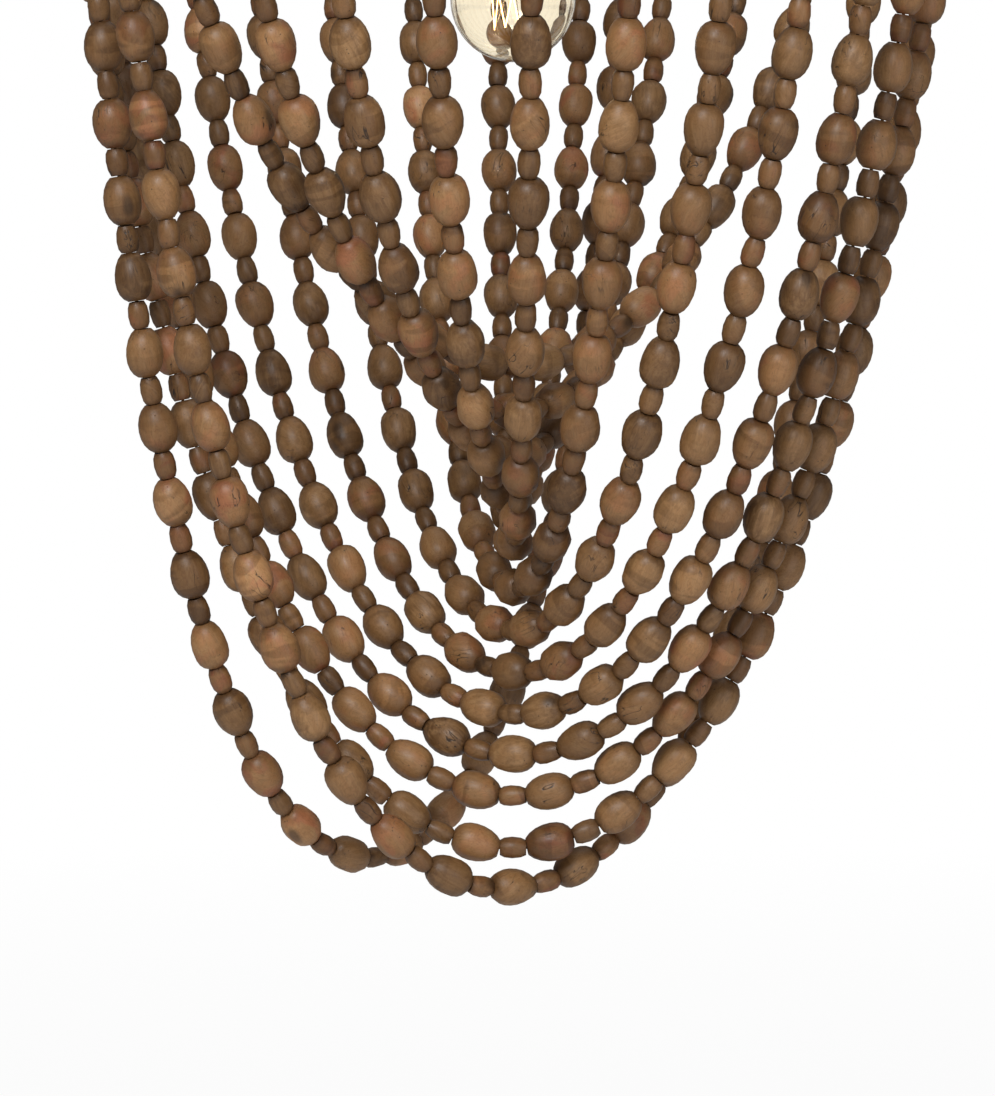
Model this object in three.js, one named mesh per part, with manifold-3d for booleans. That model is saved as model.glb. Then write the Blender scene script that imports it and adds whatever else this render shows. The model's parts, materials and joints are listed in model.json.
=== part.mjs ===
// A beaded chandelier. Fourteen strands of turned wooden beads hang from pegs round a steel ring,
// each from one side of the ring to the other, and each next strand is one pair of beads longer,
// so the nest spirals downwards. The ring hangs by four bent arms from a hub on a bored stem, and
// the stem hangs by a loop and a short chain from a ceiling loop, a crossbar and a canopy.
// Millimetres, +Z up. The origin is where the crossbar meets the ceiling.
import * as THREE from "three";
import { mergeVertices } from "three/addons/utils/BufferGeometryUtils.js";
import Module from "manifold-3d";

const wasm = await Module();
wasm.setup();

// Clearances
const seatGap = 0.3;
const cutOverrun = 2;

// Beads: a large and a small one by turns on one thread
const largeBeadRadius = 9;
const largeBeadLength = 23;
const smallBeadRadius = 4.6;
const smallBeadLength = 13;
const beadShoulderShare = 0.32;
const threadRadius = 0.8;
const beadSides = 5;

// Eyes at the ends of each thread
const eyeRadius = 3.8;
const eyeWireRadius = 0.8;
const eyeSteps = 6;
const eyeStartShare = 0.5;
const eyeWireSides = 3;
const tailLength = 11;
const tailTaper = 0.6;

// Ring and pegs
const ringOuterRadius = 195;
const ringThickness = 3;
const ringAbovePegs = 16;
const ringBelowPegs = 4;
const ringFacets = 56;
const pegSpaces = 28;
const firstPegDegrees = -49;
const pegRadius = 1.3;
const pegHeadRadius = 2.3;
const pegHeadLength = 2;
const pegLength = 14;
const pegSides = 4;
const pegSeatShare = 0.54;

// Strands. Those across the middle start at the first pegs and are each a pair longer than the one
// before. Two start and end with a large bead, and the last one hangs off the centre.
const spiralStrands = 11;
const fewestLargeBeads = 16;
const spiral = Array.from({ length: spiralStrands }, (_, i) => ({
  from: i,
  to: i + pegSpaces / 2,
  large: fewestLargeBeads + i,
  largeEnds: false,
}));
const strands = [
  ...spiral,
  { from: 11, to: 25, large: 28, largeEnds: true },
  { from: 27, to: 13, large: 29, largeEnds: true },
  { from: 26, to: 16.5, large: 28, largeEnds: true },
];

// Ceiling set
const crossbarLength = 100;
const crossbarWidth = 18;
const crossbarThickness = 2.5;
const crossbarSlotLength = 14;
const crossbarSlotWidth = 5;
const crossbarSlotEndMargin = 8;
const crossbarSlotSpacing = crossbarLength - crossbarSlotLength - 2 * crossbarSlotEndMargin;
const nippleRadius = 5;
const nippleBoreRadius = 2.5;
const nippleLength = 27;
const locknutRadius = 9;
const locknutHeight = 4;
const canopyWall = 1.5;
const canopyRoomRoundBar = 8.5;
const canopyRadius = crossbarLength / 2 + canopyRoomRoundBar + canopyWall;
const canopyDepth = 30;
const canopyCrownRadius = 26;
const canopyFacets = 24;
const collarRadius = 18;
const collarHeight = 8;
const collarFlutes = 14;

// Loops and chain
const neckRadius = 12.5;
const loopRadius = 10;
const loopWireRadius = 2.5;
const ceilingNeckTop = 17;
const ceilingNeckLength = 25;
const linkInnerLength = 24;
const linkInnerWidth = 11;
const linkWireRadius = 1.9;
const linkCount = 3;
const topNeckRadius = 8;
const topNeckLength = 14;

// Stem, column and hub
const stemRadius = 5;
const stemBoreRadius = 2.5;
const columnLength = 58;
const columnRadius = 15;
const columnWaistRadius = 9;
const hubRadius = 28;
const hubPlateThickness = 4;
const hubNutRadius = 10;
const hubNutHeight = 6;

// Arms from the hub to the ring
const armCount = 4;
const armThickness = 5;
const armWidth = 8;
const armInnerRadius = 10;
const armBendRadius = 70;
const armRise = 101;
const armFootHeight = 22;
const armCurveSteps = 8;
const armPegShare = 7.5;
const screwRadius = 1.6;
const screwHeadRadius = 3.6;
const screwHeadHeight = 2.2;
const screwHeight = 9;
const screwSides = 6;

// Lamp and lamp holder
const holderBelowNut = 18;
const holderRadius = 19;
const holderLength = 52;
const holderBoreDepth = 32;
const holderFloor = 10;
const shellRadius = 14.4;
const shellWall = 0.6;
const shellLength = 27;
const contactRadius = 4;
const contactHeight = 1.4;
const capRadius = 13.2;
const capWall = 0.8;
const capLength = 18;
const capConeLength = 5;
const capTipRadius = 4.6;
const capTipLength = 2.4;
const bulbRadius = 30;
const bulbWall = 1;
const bulbBelowPegs = 61;
const bulbNeckInCap = 11;
const mountRodRadius = 2.4;
const mountButtonRadius = 3.6;
const mountFlareLength = 9;
const mountAboveCentre = 12;
const lampFacets = 16;

const roundFacets = 14;
const up = new THREE.Vector3(0, 0, 1);

// Heights, from the ceiling down to the pegs
const loopCentre = -ceilingNeckTop - ceilingNeckLength - loopRadius + loopWireRadius / 2;
const loopHang = loopWireRadius + linkWireRadius + seatGap;
const linkReach = linkInnerLength / 2 + linkWireRadius;
const linkPitch = linkInnerLength - seatGap;
const firstLinkCentre = loopCentre - loopRadius + loopHang - linkReach;
const lastLinkCentre = firstLinkCentre - (linkCount - 1) * linkPitch;
const topLoopCentre = lastLinkCentre - linkReach + loopHang - loopRadius;
const topNeckTop = topLoopCentre - loopRadius + loopWireRadius / 2;
const columnTop = topNeckTop - topNeckLength - seatGap;
const hubTop = columnTop - columnLength - seatGap;
const armLevel = hubTop - hubPlateThickness - seatGap - armThickness / 2;
const pegLevel = armLevel - armRise;
const hubLowerTop = armLevel - armThickness / 2 - seatGap;
const hubNutTop = hubLowerTop - hubPlateThickness - seatGap;
const holderTop = hubNutTop - hubNutHeight - holderBelowNut;
const holderBottom = holderTop - holderLength;
const holderSeat = holderBottom + holderBoreDepth;
const pegSeatRadius = ringOuterRadius + pegLength * pegSeatShare;
const eyeFlat = eyeRadius * Math.cos(Math.PI / eyeSteps);
const eyeDrop = eyeFlat - eyeWireRadius - pegRadius - seatGap;

// Finishes
const finish = (colour, roughness, metalness) =>
  new THREE.MeshStandardMaterial({ color: colour, roughness, metalness });
const wood = finish(0x7a5c40, 0.6, 0);
const darkWood = finish(0x4a3626, 0.6, 0);
const bronze = finish(0x3b2f26, 0.5, 0.8);
const brass = finish(0xb08d4c, 0.35, 0.9);
const steel = finish(0x8c8880, 0.4, 0.9);
const ceramic = finish(0xe8e2d4, 0.5, 0);
const clearGlass = finish(0xf4f1e6, 0.05, 0);

const chandelier = new THREE.Group();

function add(name, geometry, material) {
  const mesh = new THREE.Mesh(geometry, material);
  mesh.name = name;
  chandelier.add(mesh);
  return mesh;
}

// Solids, joins and cuts
function solidOf(geometry) {
  const bare = geometry.clone();
  bare.deleteAttribute("normal");
  bare.deleteAttribute("uv");
  const merged = mergeVertices(bare, 1e-3);
  return new wasm.Manifold(
    new wasm.Mesh({
      numProp: 3,
      vertProperties: new Float32Array(merged.attributes.position.array),
      triVerts: new Uint32Array(merged.index.array),
    }),
  );
}

function geometryOf(solid) {
  const mesh = solid.getMesh();
  const geometry = new THREE.BufferGeometry();
  geometry.setAttribute("position", new THREE.BufferAttribute(mesh.vertProperties, 3));
  geometry.setIndex(new THREE.BufferAttribute(mesh.triVerts, 1));
  geometry.computeVertexNormals();
  return geometry;
}

function join(geometries) {
  return geometryOf(geometries.map(solidOf).reduce((sum, next) => sum.add(next)));
}

function cut(geometry, tools) {
  return geometryOf(tools.map(solidOf).reduce((rest, tool) => rest.subtract(tool), solidOf(geometry)));
}

// A profile of [radius, height] points turned about Z. One that doesn't start on the axis closes
// on itself.
function turned(profile, sides) {
  const points = profile.map(([radius, height]) => new THREE.Vector2(radius, height));
  const closed = points[0].x > 0;
  if (THREE.ShapeUtils.area(points) < 0) points.reverse();
  if (closed) points.push(points[0].clone());
  const geometry = new THREE.LatheGeometry(points, sides);
  return geometry.rotateX(Math.PI / 2);
}

// A tube from ring to ring. Each station has its middle, two unit directions and a radius.
function lofted(stations, sides, closed = false) {
  const positions = [];
  for (const { middle, across, aside, radius } of stations) {
    for (let i = 0; i < sides; i += 1) {
      const angle = (i / sides) * 2 * Math.PI;
      const point = middle.clone();
      point.addScaledVector(across, radius * Math.cos(angle));
      point.addScaledVector(aside, radius * Math.sin(angle));
      positions.push(point.x, point.y, point.z);
    }
  }
  const index = [];
  const count = stations.length;
  for (let j = 0; j < (closed ? count : count - 1); j += 1) {
    const here = j * sides;
    const there = ((j + 1) % count) * sides;
    for (let i = 0; i < sides; i += 1) {
      const next = (i + 1) % sides;
      index.push(here + i, here + next, there + i);
      index.push(here + next, there + next, there + i);
    }
  }
  if (!closed) {
    const last = (count - 1) * sides;
    for (let i = 1; i < sides - 1; i += 1) {
      index.push(0, i + 1, i);
      index.push(last, last + i, last + i + 1);
    }
  }
  const geometry = new THREE.BufferGeometry();
  geometry.setAttribute("position", new THREE.Float32BufferAttribute(positions, 3));
  geometry.setIndex(index);
  return geometry;
}

// A closed ring of wire along points that lie in the plane of two directions
function wireRing(points, planeNormal, wireRadius, sides) {
  const stations = points.map((middle, i) => {
    const before = points[(i + points.length - 1) % points.length];
    const after = points[(i + 1) % points.length];
    const along = after.clone().sub(before).normalize();
    const across = along.clone().cross(planeNormal).normalize();
    return { middle, across, aside: along.clone().cross(across).normalize(), radius: wireRadius };
  });
  return lofted(stations, sides, true);
}

function circlePoints(centre, first, second, radius, steps, startShare = 0) {
  return Array.from({ length: steps }, (_, i) => {
    const angle = ((i + startShare) / steps) * 2 * Math.PI;
    const point = centre.clone().addScaledVector(first, radius * Math.cos(angle));
    return point.addScaledVector(second, radius * Math.sin(angle));
  });
}

// A place on the ring: 0 degrees is the front, and positive goes to the right
function outward(degrees) {
  const angle = THREE.MathUtils.degToRad(degrees);
  return new THREE.Vector3(Math.sin(angle), -Math.cos(angle), 0);
}

const pegDegrees = (peg) => firstPegDegrees + (360 / pegSpaces) * peg;

// The curve of a thread hung between two pegs at one height: a catenary, given by the distance
// along it. Its shape number solves sinh(u) / u = length / span.
function hanging(span, length) {
  let low = 1e-3;
  let high = 20;
  for (let i = 0; i < 60; i += 1) {
    const middle = (low + high) / 2;
    if (Math.sinh(middle) / middle > length / span) high = middle;
    else low = middle;
  }
  const scale = span / (low + high);
  const drop = scale * Math.cosh(span / (2 * scale));
  return (distance) => {
    const t = Math.asinh((distance - length / 2) / scale);
    return {
      along: span / 2 + scale * t,
      height: scale * Math.cosh(t) - drop,
      slope: Math.atan(Math.sinh(t)),
    };
  };
}

// Distances along a strand and the radius there, from one eye to the other. A large bead has two
// shoulders, and a small one is the waist between two large ones.
function beadProfile({ large, largeEnds }, eyeBottom) {
  const profile = [
    [eyeBottom, threadRadius],
    [tailLength - tailTaper, threadRadius],
    [tailLength, smallBeadRadius],
  ];
  const shoulder = largeBeadLength * beadShoulderShare;
  let distance = tailLength;
  const addSmall = () => {
    profile.push([distance + smallBeadLength / 2, smallBeadRadius]);
    distance += smallBeadLength;
  };
  if (!largeEnds) addSmall();
  for (let i = 0; i < large; i += 1) {
    profile.push([distance + shoulder, largeBeadRadius]);
    profile.push([distance + largeBeadLength - shoulder, largeBeadRadius]);
    distance += largeBeadLength;
    if (i < large - 1 || !largeEnds) addSmall();
  }
  const length = distance + tailLength;
  profile.push([distance, smallBeadRadius]);
  profile.push([distance + tailTaper, threadRadius]);
  profile.push([length - eyeBottom, threadRadius]);
  return { profile, length };
}

function strandGeometry(strand) {
  const start = outward(pegDegrees(strand.from)).multiplyScalar(pegSeatRadius);
  const end = outward(pegDegrees(strand.to)).multiplyScalar(pegSeatRadius);
  start.z = pegLevel;
  end.z = pegLevel;
  const forward = end.clone().sub(start);
  const span = forward.length();
  forward.normalize();
  const aside = up.clone().cross(forward);
  const { profile, length } = beadProfile(strand, eyeDrop + eyeFlat);
  const curve = hanging(span, length);
  const place = (distance) => {
    const { along, height, slope } = curve(distance);
    const middle = start.clone().addScaledVector(forward, along).addScaledVector(up, height);
    const tangent = forward.clone().multiplyScalar(Math.cos(slope)).addScaledVector(up, Math.sin(slope));
    return { middle, tangent, across: aside.clone().cross(tangent), aside };
  };
  const body = lofted(
    profile.map(([distance, radius]) => ({ ...place(distance), radius })),
    beadSides,
  );
  const eyes = [0, length].map((distance) => {
    const { middle, tangent } = place(distance);
    const inward = distance > 0 ? -1 : 1;
    const centre = middle.clone().addScaledVector(tangent, inward * eyeDrop);
    const points = circlePoints(centre, tangent, aside, eyeRadius, eyeSteps, eyeStartShare);
    return wireRing(points, tangent.clone().cross(aside), eyeWireRadius, eyeWireSides);
  });
  return join([body, ...eyes]);
}

strands.forEach((strand, i) => {
  add("strand_" + String(i + 1).padStart(2, "0"), strandGeometry(strand), i % 3 ? wood : darkWood);
});

// Main ring: a flat hoop with a headed peg for each eye and a hole for each arm's screw
function pegGeometry(degrees) {
  const across = outward(degrees);
  const aside = across.clone().cross(up);
  const tip = ringOuterRadius + pegLength;
  const stations = [
    [ringOuterRadius - ringThickness / 2, pegRadius],
    [tip - pegHeadLength, pegRadius],
    [tip, pegHeadRadius],
  ].map(([distance, radius]) => ({
    middle: across.clone().multiplyScalar(distance).setZ(pegLevel),
    across: up,
    aside,
    radius,
  }));
  return lofted(stations, pegSides);
}

// A pin along the outward direction at an angle round the ring, from a profile of
// [radius, distance from the axis]
function radialPin(profile, degrees, height) {
  const pin = turned(profile, screwSides);
  pin.rotateX(Math.PI / 2);
  pin.rotateZ(THREE.MathUtils.degToRad(degrees));
  return pin.translate(0, 0, height);
}

const armDegrees = (arm) => pegDegrees(armPegShare + (arm * pegSpaces) / armCount);
const screwLevel = pegLevel + screwHeight;
const footOuter = ringOuterRadius - ringThickness - 2 * seatGap;
const screwHole = [
  [0, footOuter - armThickness - cutOverrun],
  [screwRadius + seatGap, footOuter - armThickness - cutOverrun],
  [screwRadius + seatGap, ringOuterRadius + cutOverrun],
  [0, ringOuterRadius + cutOverrun],
];

function ringGeometry() {
  const band = turned(
    [
      [ringOuterRadius, pegLevel - ringBelowPegs],
      [ringOuterRadius, pegLevel + ringAbovePegs],
      [ringOuterRadius - ringThickness, pegLevel + ringAbovePegs],
      [ringOuterRadius - ringThickness, pegLevel - ringBelowPegs],
    ],
    ringFacets,
  );
  const usedPegs = strands.flatMap(({ from, to }) => [from, to]);
  const pegged = join([band, ...usedPegs.map((peg) => pegGeometry(pegDegrees(peg)))]);
  const holes = Array.from({ length: armCount }, (_, arm) =>
    radialPin(screwHole, armDegrees(arm), screwLevel),
  );
  return cut(pegged, holes);
}

add("main_ring", ringGeometry(), bronze);

// Arms: flat bars bent down from the hub to a foot inside the ring
function armGeometry(degrees) {
  const half = armThickness / 2;
  const footMiddle = footOuter - half;
  const footTop = pegLevel - ringBelowPegs + armFootHeight;
  const footBottom = pegLevel;
  const outline = new THREE.Shape();
  outline.moveTo(armInnerRadius, armLevel - half);
  outline.lineTo(armInnerRadius, armLevel + half);
  outline.lineTo(armBendRadius, armLevel + half);
  const bendAcross = footMiddle - armBendRadius;
  const bendDown = armLevel - footTop;
  outline.absellipse(
    armBendRadius,
    footTop,
    bendAcross + half,
    bendDown + half,
    Math.PI / 2,
    0,
    true,
  );
  outline.lineTo(footMiddle + half, footBottom);
  outline.lineTo(footMiddle - half, footBottom);
  outline.absellipse(
    armBendRadius,
    footTop,
    bendAcross - half,
    bendDown - half,
    0,
    Math.PI / 2,
    false,
  );
  outline.closePath();
  const bar = new THREE.ExtrudeGeometry(outline, {
    depth: armWidth,
    bevelEnabled: false,
    curveSegments: armCurveSteps,
  });
  bar.rotateX(Math.PI / 2);
  bar.translate(0, armWidth / 2, 0);
  bar.rotateZ(THREE.MathUtils.degToRad(degrees - 90));
  return cut(bar, [radialPin(screwHole, degrees, screwLevel)]);
}

const screwProfile = [
  [0, footOuter - armThickness],
  [screwRadius, footOuter - armThickness],
  [screwRadius, ringOuterRadius + seatGap],
  [screwHeadRadius, ringOuterRadius + seatGap],
  [screwHeadRadius * Math.SQRT1_2, ringOuterRadius + seatGap + screwHeadHeight],
  [0, ringOuterRadius + seatGap + screwHeadHeight],
];

for (let arm = 0; arm < armCount; arm += 1) {
  add("arm_" + (arm + 1), armGeometry(armDegrees(arm)), bronze);
  add("arm_screw_" + (arm + 1), radialPin(screwProfile, armDegrees(arm), screwLevel), brass);
}

// A flat-sided or round ring about the axis, between two heights
function collarOf(outer, inner, top, bottom, sides) {
  return turned(
    [
      [outer, bottom],
      [outer, top],
      [inner, top],
      [inner, bottom],
    ],
    sides,
  );
}

// Hub: two plates that clamp the arms on the stem, and the nut under them
const stemWay = stemRadius + seatGap;
const plateEdge = hubPlateThickness / 2;
add(
  "hub_upper_plate",
  turned(
    [
      [hubRadius, hubTop - hubPlateThickness],
      [hubRadius, hubTop - plateEdge],
      [hubRadius - plateEdge, hubTop],
      [stemWay, hubTop],
      [stemWay, hubTop - hubPlateThickness],
    ],
    roundFacets,
  ),
  bronze,
);
add(
  "hub_lower_plate",
  turned(
    [
      [hubRadius - plateEdge, hubLowerTop - hubPlateThickness],
      [hubRadius, hubLowerTop - plateEdge],
      [hubRadius, hubLowerTop],
      [stemWay, hubLowerTop],
      [stemWay, hubLowerTop - hubPlateThickness],
    ],
    roundFacets,
  ),
  bronze,
);
const hexWay = stemRadius / Math.cos(Math.PI / 6) + seatGap;
add("hub_nut", collarOf(hubNutRadius, hexWay, hubNutTop, hubNutTop - hubNutHeight, 6), brass);

// Stem, from inside the top loop's neck down into the lamp holder
const stemTop = topNeckTop - topNeckLength / 2;
const stemBottom = holderSeat + holderFloor + seatGap;
add("stem", collarOf(stemRadius, stemBoreRadius, stemTop, stemBottom, roundFacets), steel);

// Column: a turned sleeve round the stem
const columnShape = [
  [columnRadius * 0.8, 0],
  [columnRadius, 0.08],
  [columnWaistRadius, 0.24],
  [columnWaistRadius * 1.1, 0.4],
  [columnRadius * 0.9, 0.62],
  [columnRadius * 0.9, 0.7],
  [columnWaistRadius, 0.84],
  [columnRadius * 0.75, 0.94],
  [columnRadius * 0.7, 1],
];
add(
  "stem_column",
  turned(
    [
      ...columnShape.map(([radius, share]) => [radius, columnTop - columnLength * (1 - share)]),
      [stemWay, columnTop],
      [stemWay, columnTop - columnLength],
    ],
    roundFacets,
  ),
  wood,
);

// Loops with a bored neck: the ceiling loop hangs from its neck, the top loop stands on its own
const east = new THREE.Vector3(1, 0, 0);
const north = new THREE.Vector3(0, 1, 0);
const loopSteps = 12;
const wireSides = 6;

function loopWithNeck(centre, neck, boreTool) {
  const points = circlePoints(new THREE.Vector3(0, 0, centre), east, up, loopRadius, loopSteps);
  const ring = wireRing(points, north, loopWireRadius, wireSides);
  return cut(join([ring, neck]), [boreTool]);
}

const ceilingNeckBottom = -ceilingNeckTop - ceilingNeckLength;
const nippleBottom = -nippleLength;
add(
  "ceiling_loop",
  loopWithNeck(
    loopCentre,
    turned(
      [
        [0, ceilingNeckBottom],
        [neckRadius * 0.6, ceilingNeckBottom],
        [neckRadius, ceilingNeckBottom + loopWireRadius],
        [neckRadius, -ceilingNeckTop],
        [0, -ceilingNeckTop],
      ],
      roundFacets,
    ),
    turned(
      [
        [0, nippleBottom - seatGap],
        [nippleRadius + seatGap, nippleBottom - seatGap],
        [nippleRadius + seatGap, cutOverrun - ceilingNeckTop],
        [0, cutOverrun - ceilingNeckTop],
      ],
      roundFacets,
    ),
  ),
  brass,
);
add(
  "top_loop",
  loopWithNeck(
    topLoopCentre,
    turned(
      [
        [0, topNeckTop - topNeckLength],
        [topNeckRadius, topNeckTop - topNeckLength],
        [topNeckRadius, topNeckTop - loopWireRadius],
        [topNeckRadius * 0.7, topNeckTop],
        [0, topNeckTop],
      ],
      roundFacets,
    ),
    turned(
      [
        [0, topNeckTop - topNeckLength - cutOverrun],
        [stemWay, topNeckTop - topNeckLength - cutOverrun],
        [stemWay, stemTop + seatGap],
        [0, stemTop + seatGap],
      ],
      roundFacets,
    ),
  ),
  brass,
);

// Chain: oval links, each a quarter turn from the one before
const linkBendSteps = 6;

function linkGeometry(centre, sideways) {
  const bend = linkInnerWidth / 2 + linkWireRadius;
  const straight = linkReach - bend;
  const points = [];
  for (const end of [1, -1]) {
    for (let i = 0; i <= linkBendSteps; i += 1) {
      const angle = (i / linkBendSteps) * Math.PI;
      const point = new THREE.Vector3(0, 0, centre + end * (straight + bend * Math.sin(angle)));
      points.push(point.addScaledVector(sideways, end * bend * Math.cos(angle)));
    }
  }
  return wireRing(points, up.clone().cross(sideways), linkWireRadius, wireSides);
}

for (let link = 0; link < linkCount; link += 1) {
  const centre = firstLinkCentre - link * linkPitch;
  add("chain_link_" + (link + 1), linkGeometry(centre, link % 2 ? east : north), brass);
}

// Ceiling set: crossbar, nipple and locknut, canopy and its collar
const slot = new THREE.Shape();
slot.absarc((crossbarSlotLength - crossbarSlotWidth) / 2, 0, crossbarSlotWidth / 2, -Math.PI / 2, Math.PI / 2);
slot.absarc((crossbarSlotWidth - crossbarSlotLength) / 2, 0, crossbarSlotWidth / 2, Math.PI / 2, -Math.PI / 2);
slot.closePath();
const slotTool = (side) =>
  new THREE.ExtrudeGeometry(slot, {
    depth: crossbarThickness + 2 * cutOverrun,
    bevelEnabled: false,
    curveSegments: 4,
  }).translate((side * crossbarSlotSpacing) / 2, 0, -crossbarThickness - cutOverrun);
add(
  "crossbar",
  cut(
    new THREE.BoxGeometry(crossbarLength, crossbarWidth, crossbarThickness).translate(
      0,
      0,
      -crossbarThickness / 2,
    ),
    [
      slotTool(1),
      slotTool(-1),
      turned(
        [
          [0, -crossbarThickness - cutOverrun],
          [nippleRadius + seatGap, -crossbarThickness - cutOverrun],
          [nippleRadius + seatGap, cutOverrun],
          [0, cutOverrun],
        ],
        roundFacets,
      ),
    ],
  ),
  steel,
);
add("nipple", collarOf(nippleRadius, nippleBoreRadius, 0, nippleBottom, roundFacets), brass);
const locknutTop = -crossbarThickness - seatGap;
const locknutWay = nippleRadius / Math.cos(Math.PI / 6) + seatGap;
add("nipple_locknut", collarOf(locknutRadius, locknutWay, locknutTop, locknutTop - locknutHeight, 6), steel);

const canopyWay = neckRadius + 2 * seatGap;
add(
  "canopy",
  turned(
    [
      [canopyRadius, 0],
      [canopyRadius, -canopyDepth * 0.3],
      [canopyRadius * 0.9, -canopyDepth * 0.5],
      [canopyCrownRadius * 1.4, -canopyDepth * 0.8],
      [canopyCrownRadius, -canopyDepth],
      [canopyWay, -canopyDepth],
      [canopyWay, canopyWall - canopyDepth],
      [canopyCrownRadius - canopyWall, canopyWall - canopyDepth],
      [canopyCrownRadius * 1.4 - canopyWall, canopyWall - canopyDepth * 0.8],
      [canopyRadius * 0.9 - canopyWall, canopyWall - canopyDepth * 0.5],
      [canopyRadius - canopyWall, canopyWall - canopyDepth * 0.3],
      [canopyRadius - canopyWall, 0],
    ],
    canopyFacets,
  ),
  bronze,
);
const collarTop = -canopyDepth - seatGap;
add("canopy_collar", collarOf(collarRadius, canopyWay, collarTop, collarTop - collarHeight, collarFlutes), brass);

// Lamp holder: insulating body, brass screw shell and centre contact
const holderBore = shellRadius + seatGap;
const wireWay = nippleBoreRadius / 2;
add(
  "lamp_holder",
  turned(
    [
      [holderRadius * 0.9, holderBottom],
      [holderRadius, holderBottom + holderFloor],
      [holderRadius, holderTop - holderFloor],
      [holderRadius * 0.7, holderTop],
      [stemWay, holderTop],
      [stemWay, holderSeat + holderFloor],
      [wireWay, holderSeat + holderFloor],
      [wireWay, holderSeat],
      [holderBore, holderSeat],
      [holderBore, holderBottom],
    ],
    lampFacets,
  ),
  ceramic,
);
const shellTop = holderSeat - seatGap;
add("screw_shell", collarOf(shellRadius, shellRadius - shellWall, shellTop, shellTop - shellLength, lampFacets), brass);
add(
  "centre_contact",
  turned(
    [
      [0, shellTop - contactHeight],
      [contactRadius * 0.6, shellTop - contactHeight],
      [contactRadius, shellTop],
      [0, shellTop],
    ],
    lampFacets / 2,
  ),
  brass,
);

// Lamp: clear glass bulb with its neck in a screw cap, and the glass mount inside it
const capTop = shellTop - contactHeight - seatGap;
const capConeTop = capTop - capTipLength;
const capStraightTop = capConeTop - capConeLength;
const capBottom = capStraightTop - capLength;
add(
  "bulb_cap",
  turned(
    [
      [0, capStraightTop - capWall],
      [capRadius - capWall, capStraightTop - capWall],
      [capRadius - capWall, capBottom],
      [capRadius, capBottom],
      [capRadius, capStraightTop],
      [capTipRadius, capConeTop],
      [capTipRadius, capTop],
      [0, capTop],
    ],
    lampFacets,
  ),
  brass,
);

const neckOuter = capRadius - capWall - seatGap;
const neckTop = capBottom + bulbNeckInCap;
const bulbCentre = pegLevel - bulbBelowPegs + bulbRadius;
const bulbShoulder = Math.PI / 5;
const bulbSteps = 6;

// The bulb's outline, or its hollow's where the wall is taken off: a ball that narrows to the neck
function bulbOutline(wall) {
  const radius = bulbRadius - wall;
  const points = [];
  for (let i = 0; i <= bulbSteps; i += 1) {
    const angle = -Math.PI / 2 + (i / bulbSteps) * (Math.PI / 2 + bulbShoulder);
    points.push([i ? radius * Math.cos(angle) : 0, bulbCentre + radius * Math.sin(angle)]);
  }
  const [shoulderRadius, shoulderLevel] = points[bulbSteps];
  const neck = neckOuter - wall;
  for (const [share, narrowing] of [
    [0.35, 0.55],
    [0.7, 0.9],
    [1, 1],
  ]) {
    points.push([
      shoulderRadius + (neck - shoulderRadius) * narrowing,
      shoulderLevel + (capBottom - seatGap - shoulderLevel) * share,
    ]);
  }
  points.push([neck, neckTop]);
  return points;
}

add(
  "bulb_glass",
  turned([...bulbOutline(0), ...bulbOutline(bulbWall).reverse()], lampFacets),
  clearGlass,
);

const mountFoot = neckOuter - bulbWall - seatGap;
const mountBottom = bulbCentre + mountAboveCentre;
add(
  "bulb_mount",
  turned(
    [
      [0, mountBottom],
      [mountButtonRadius, mountBottom + mountButtonRadius],
      [mountRodRadius, mountBottom + 2 * mountButtonRadius],
      [mountRodRadius, neckTop - mountFlareLength],
      [mountFoot, neckTop - mountRodRadius],
      [mountFoot, neckTop],
      [0, neckTop],
    ],
    lampFacets / 2,
  ),
  clearGlass,
);

export default chandelier;
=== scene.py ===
"""The looks of a beaded chandelier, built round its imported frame.

Fourteen strands of turned wooden beads hang as a nest of U loops from pegs round a steel hoop. Four
bent arms hold the hoop to a hub on a threaded stem, and a short chain holds the stem to a ceiling
loop, a crossbar and a canopy. A clear lamp hangs in the middle, inside the nest. Metres, +Z up.
"""

import json
import logging
import math
import random
from dataclasses import dataclass, field
from enum import Enum
from functools import reduce
from typing import Any, Callable, Iterable, Sequence

import bmesh
import bpy
from mathutils import Matrix, Vector


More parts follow.
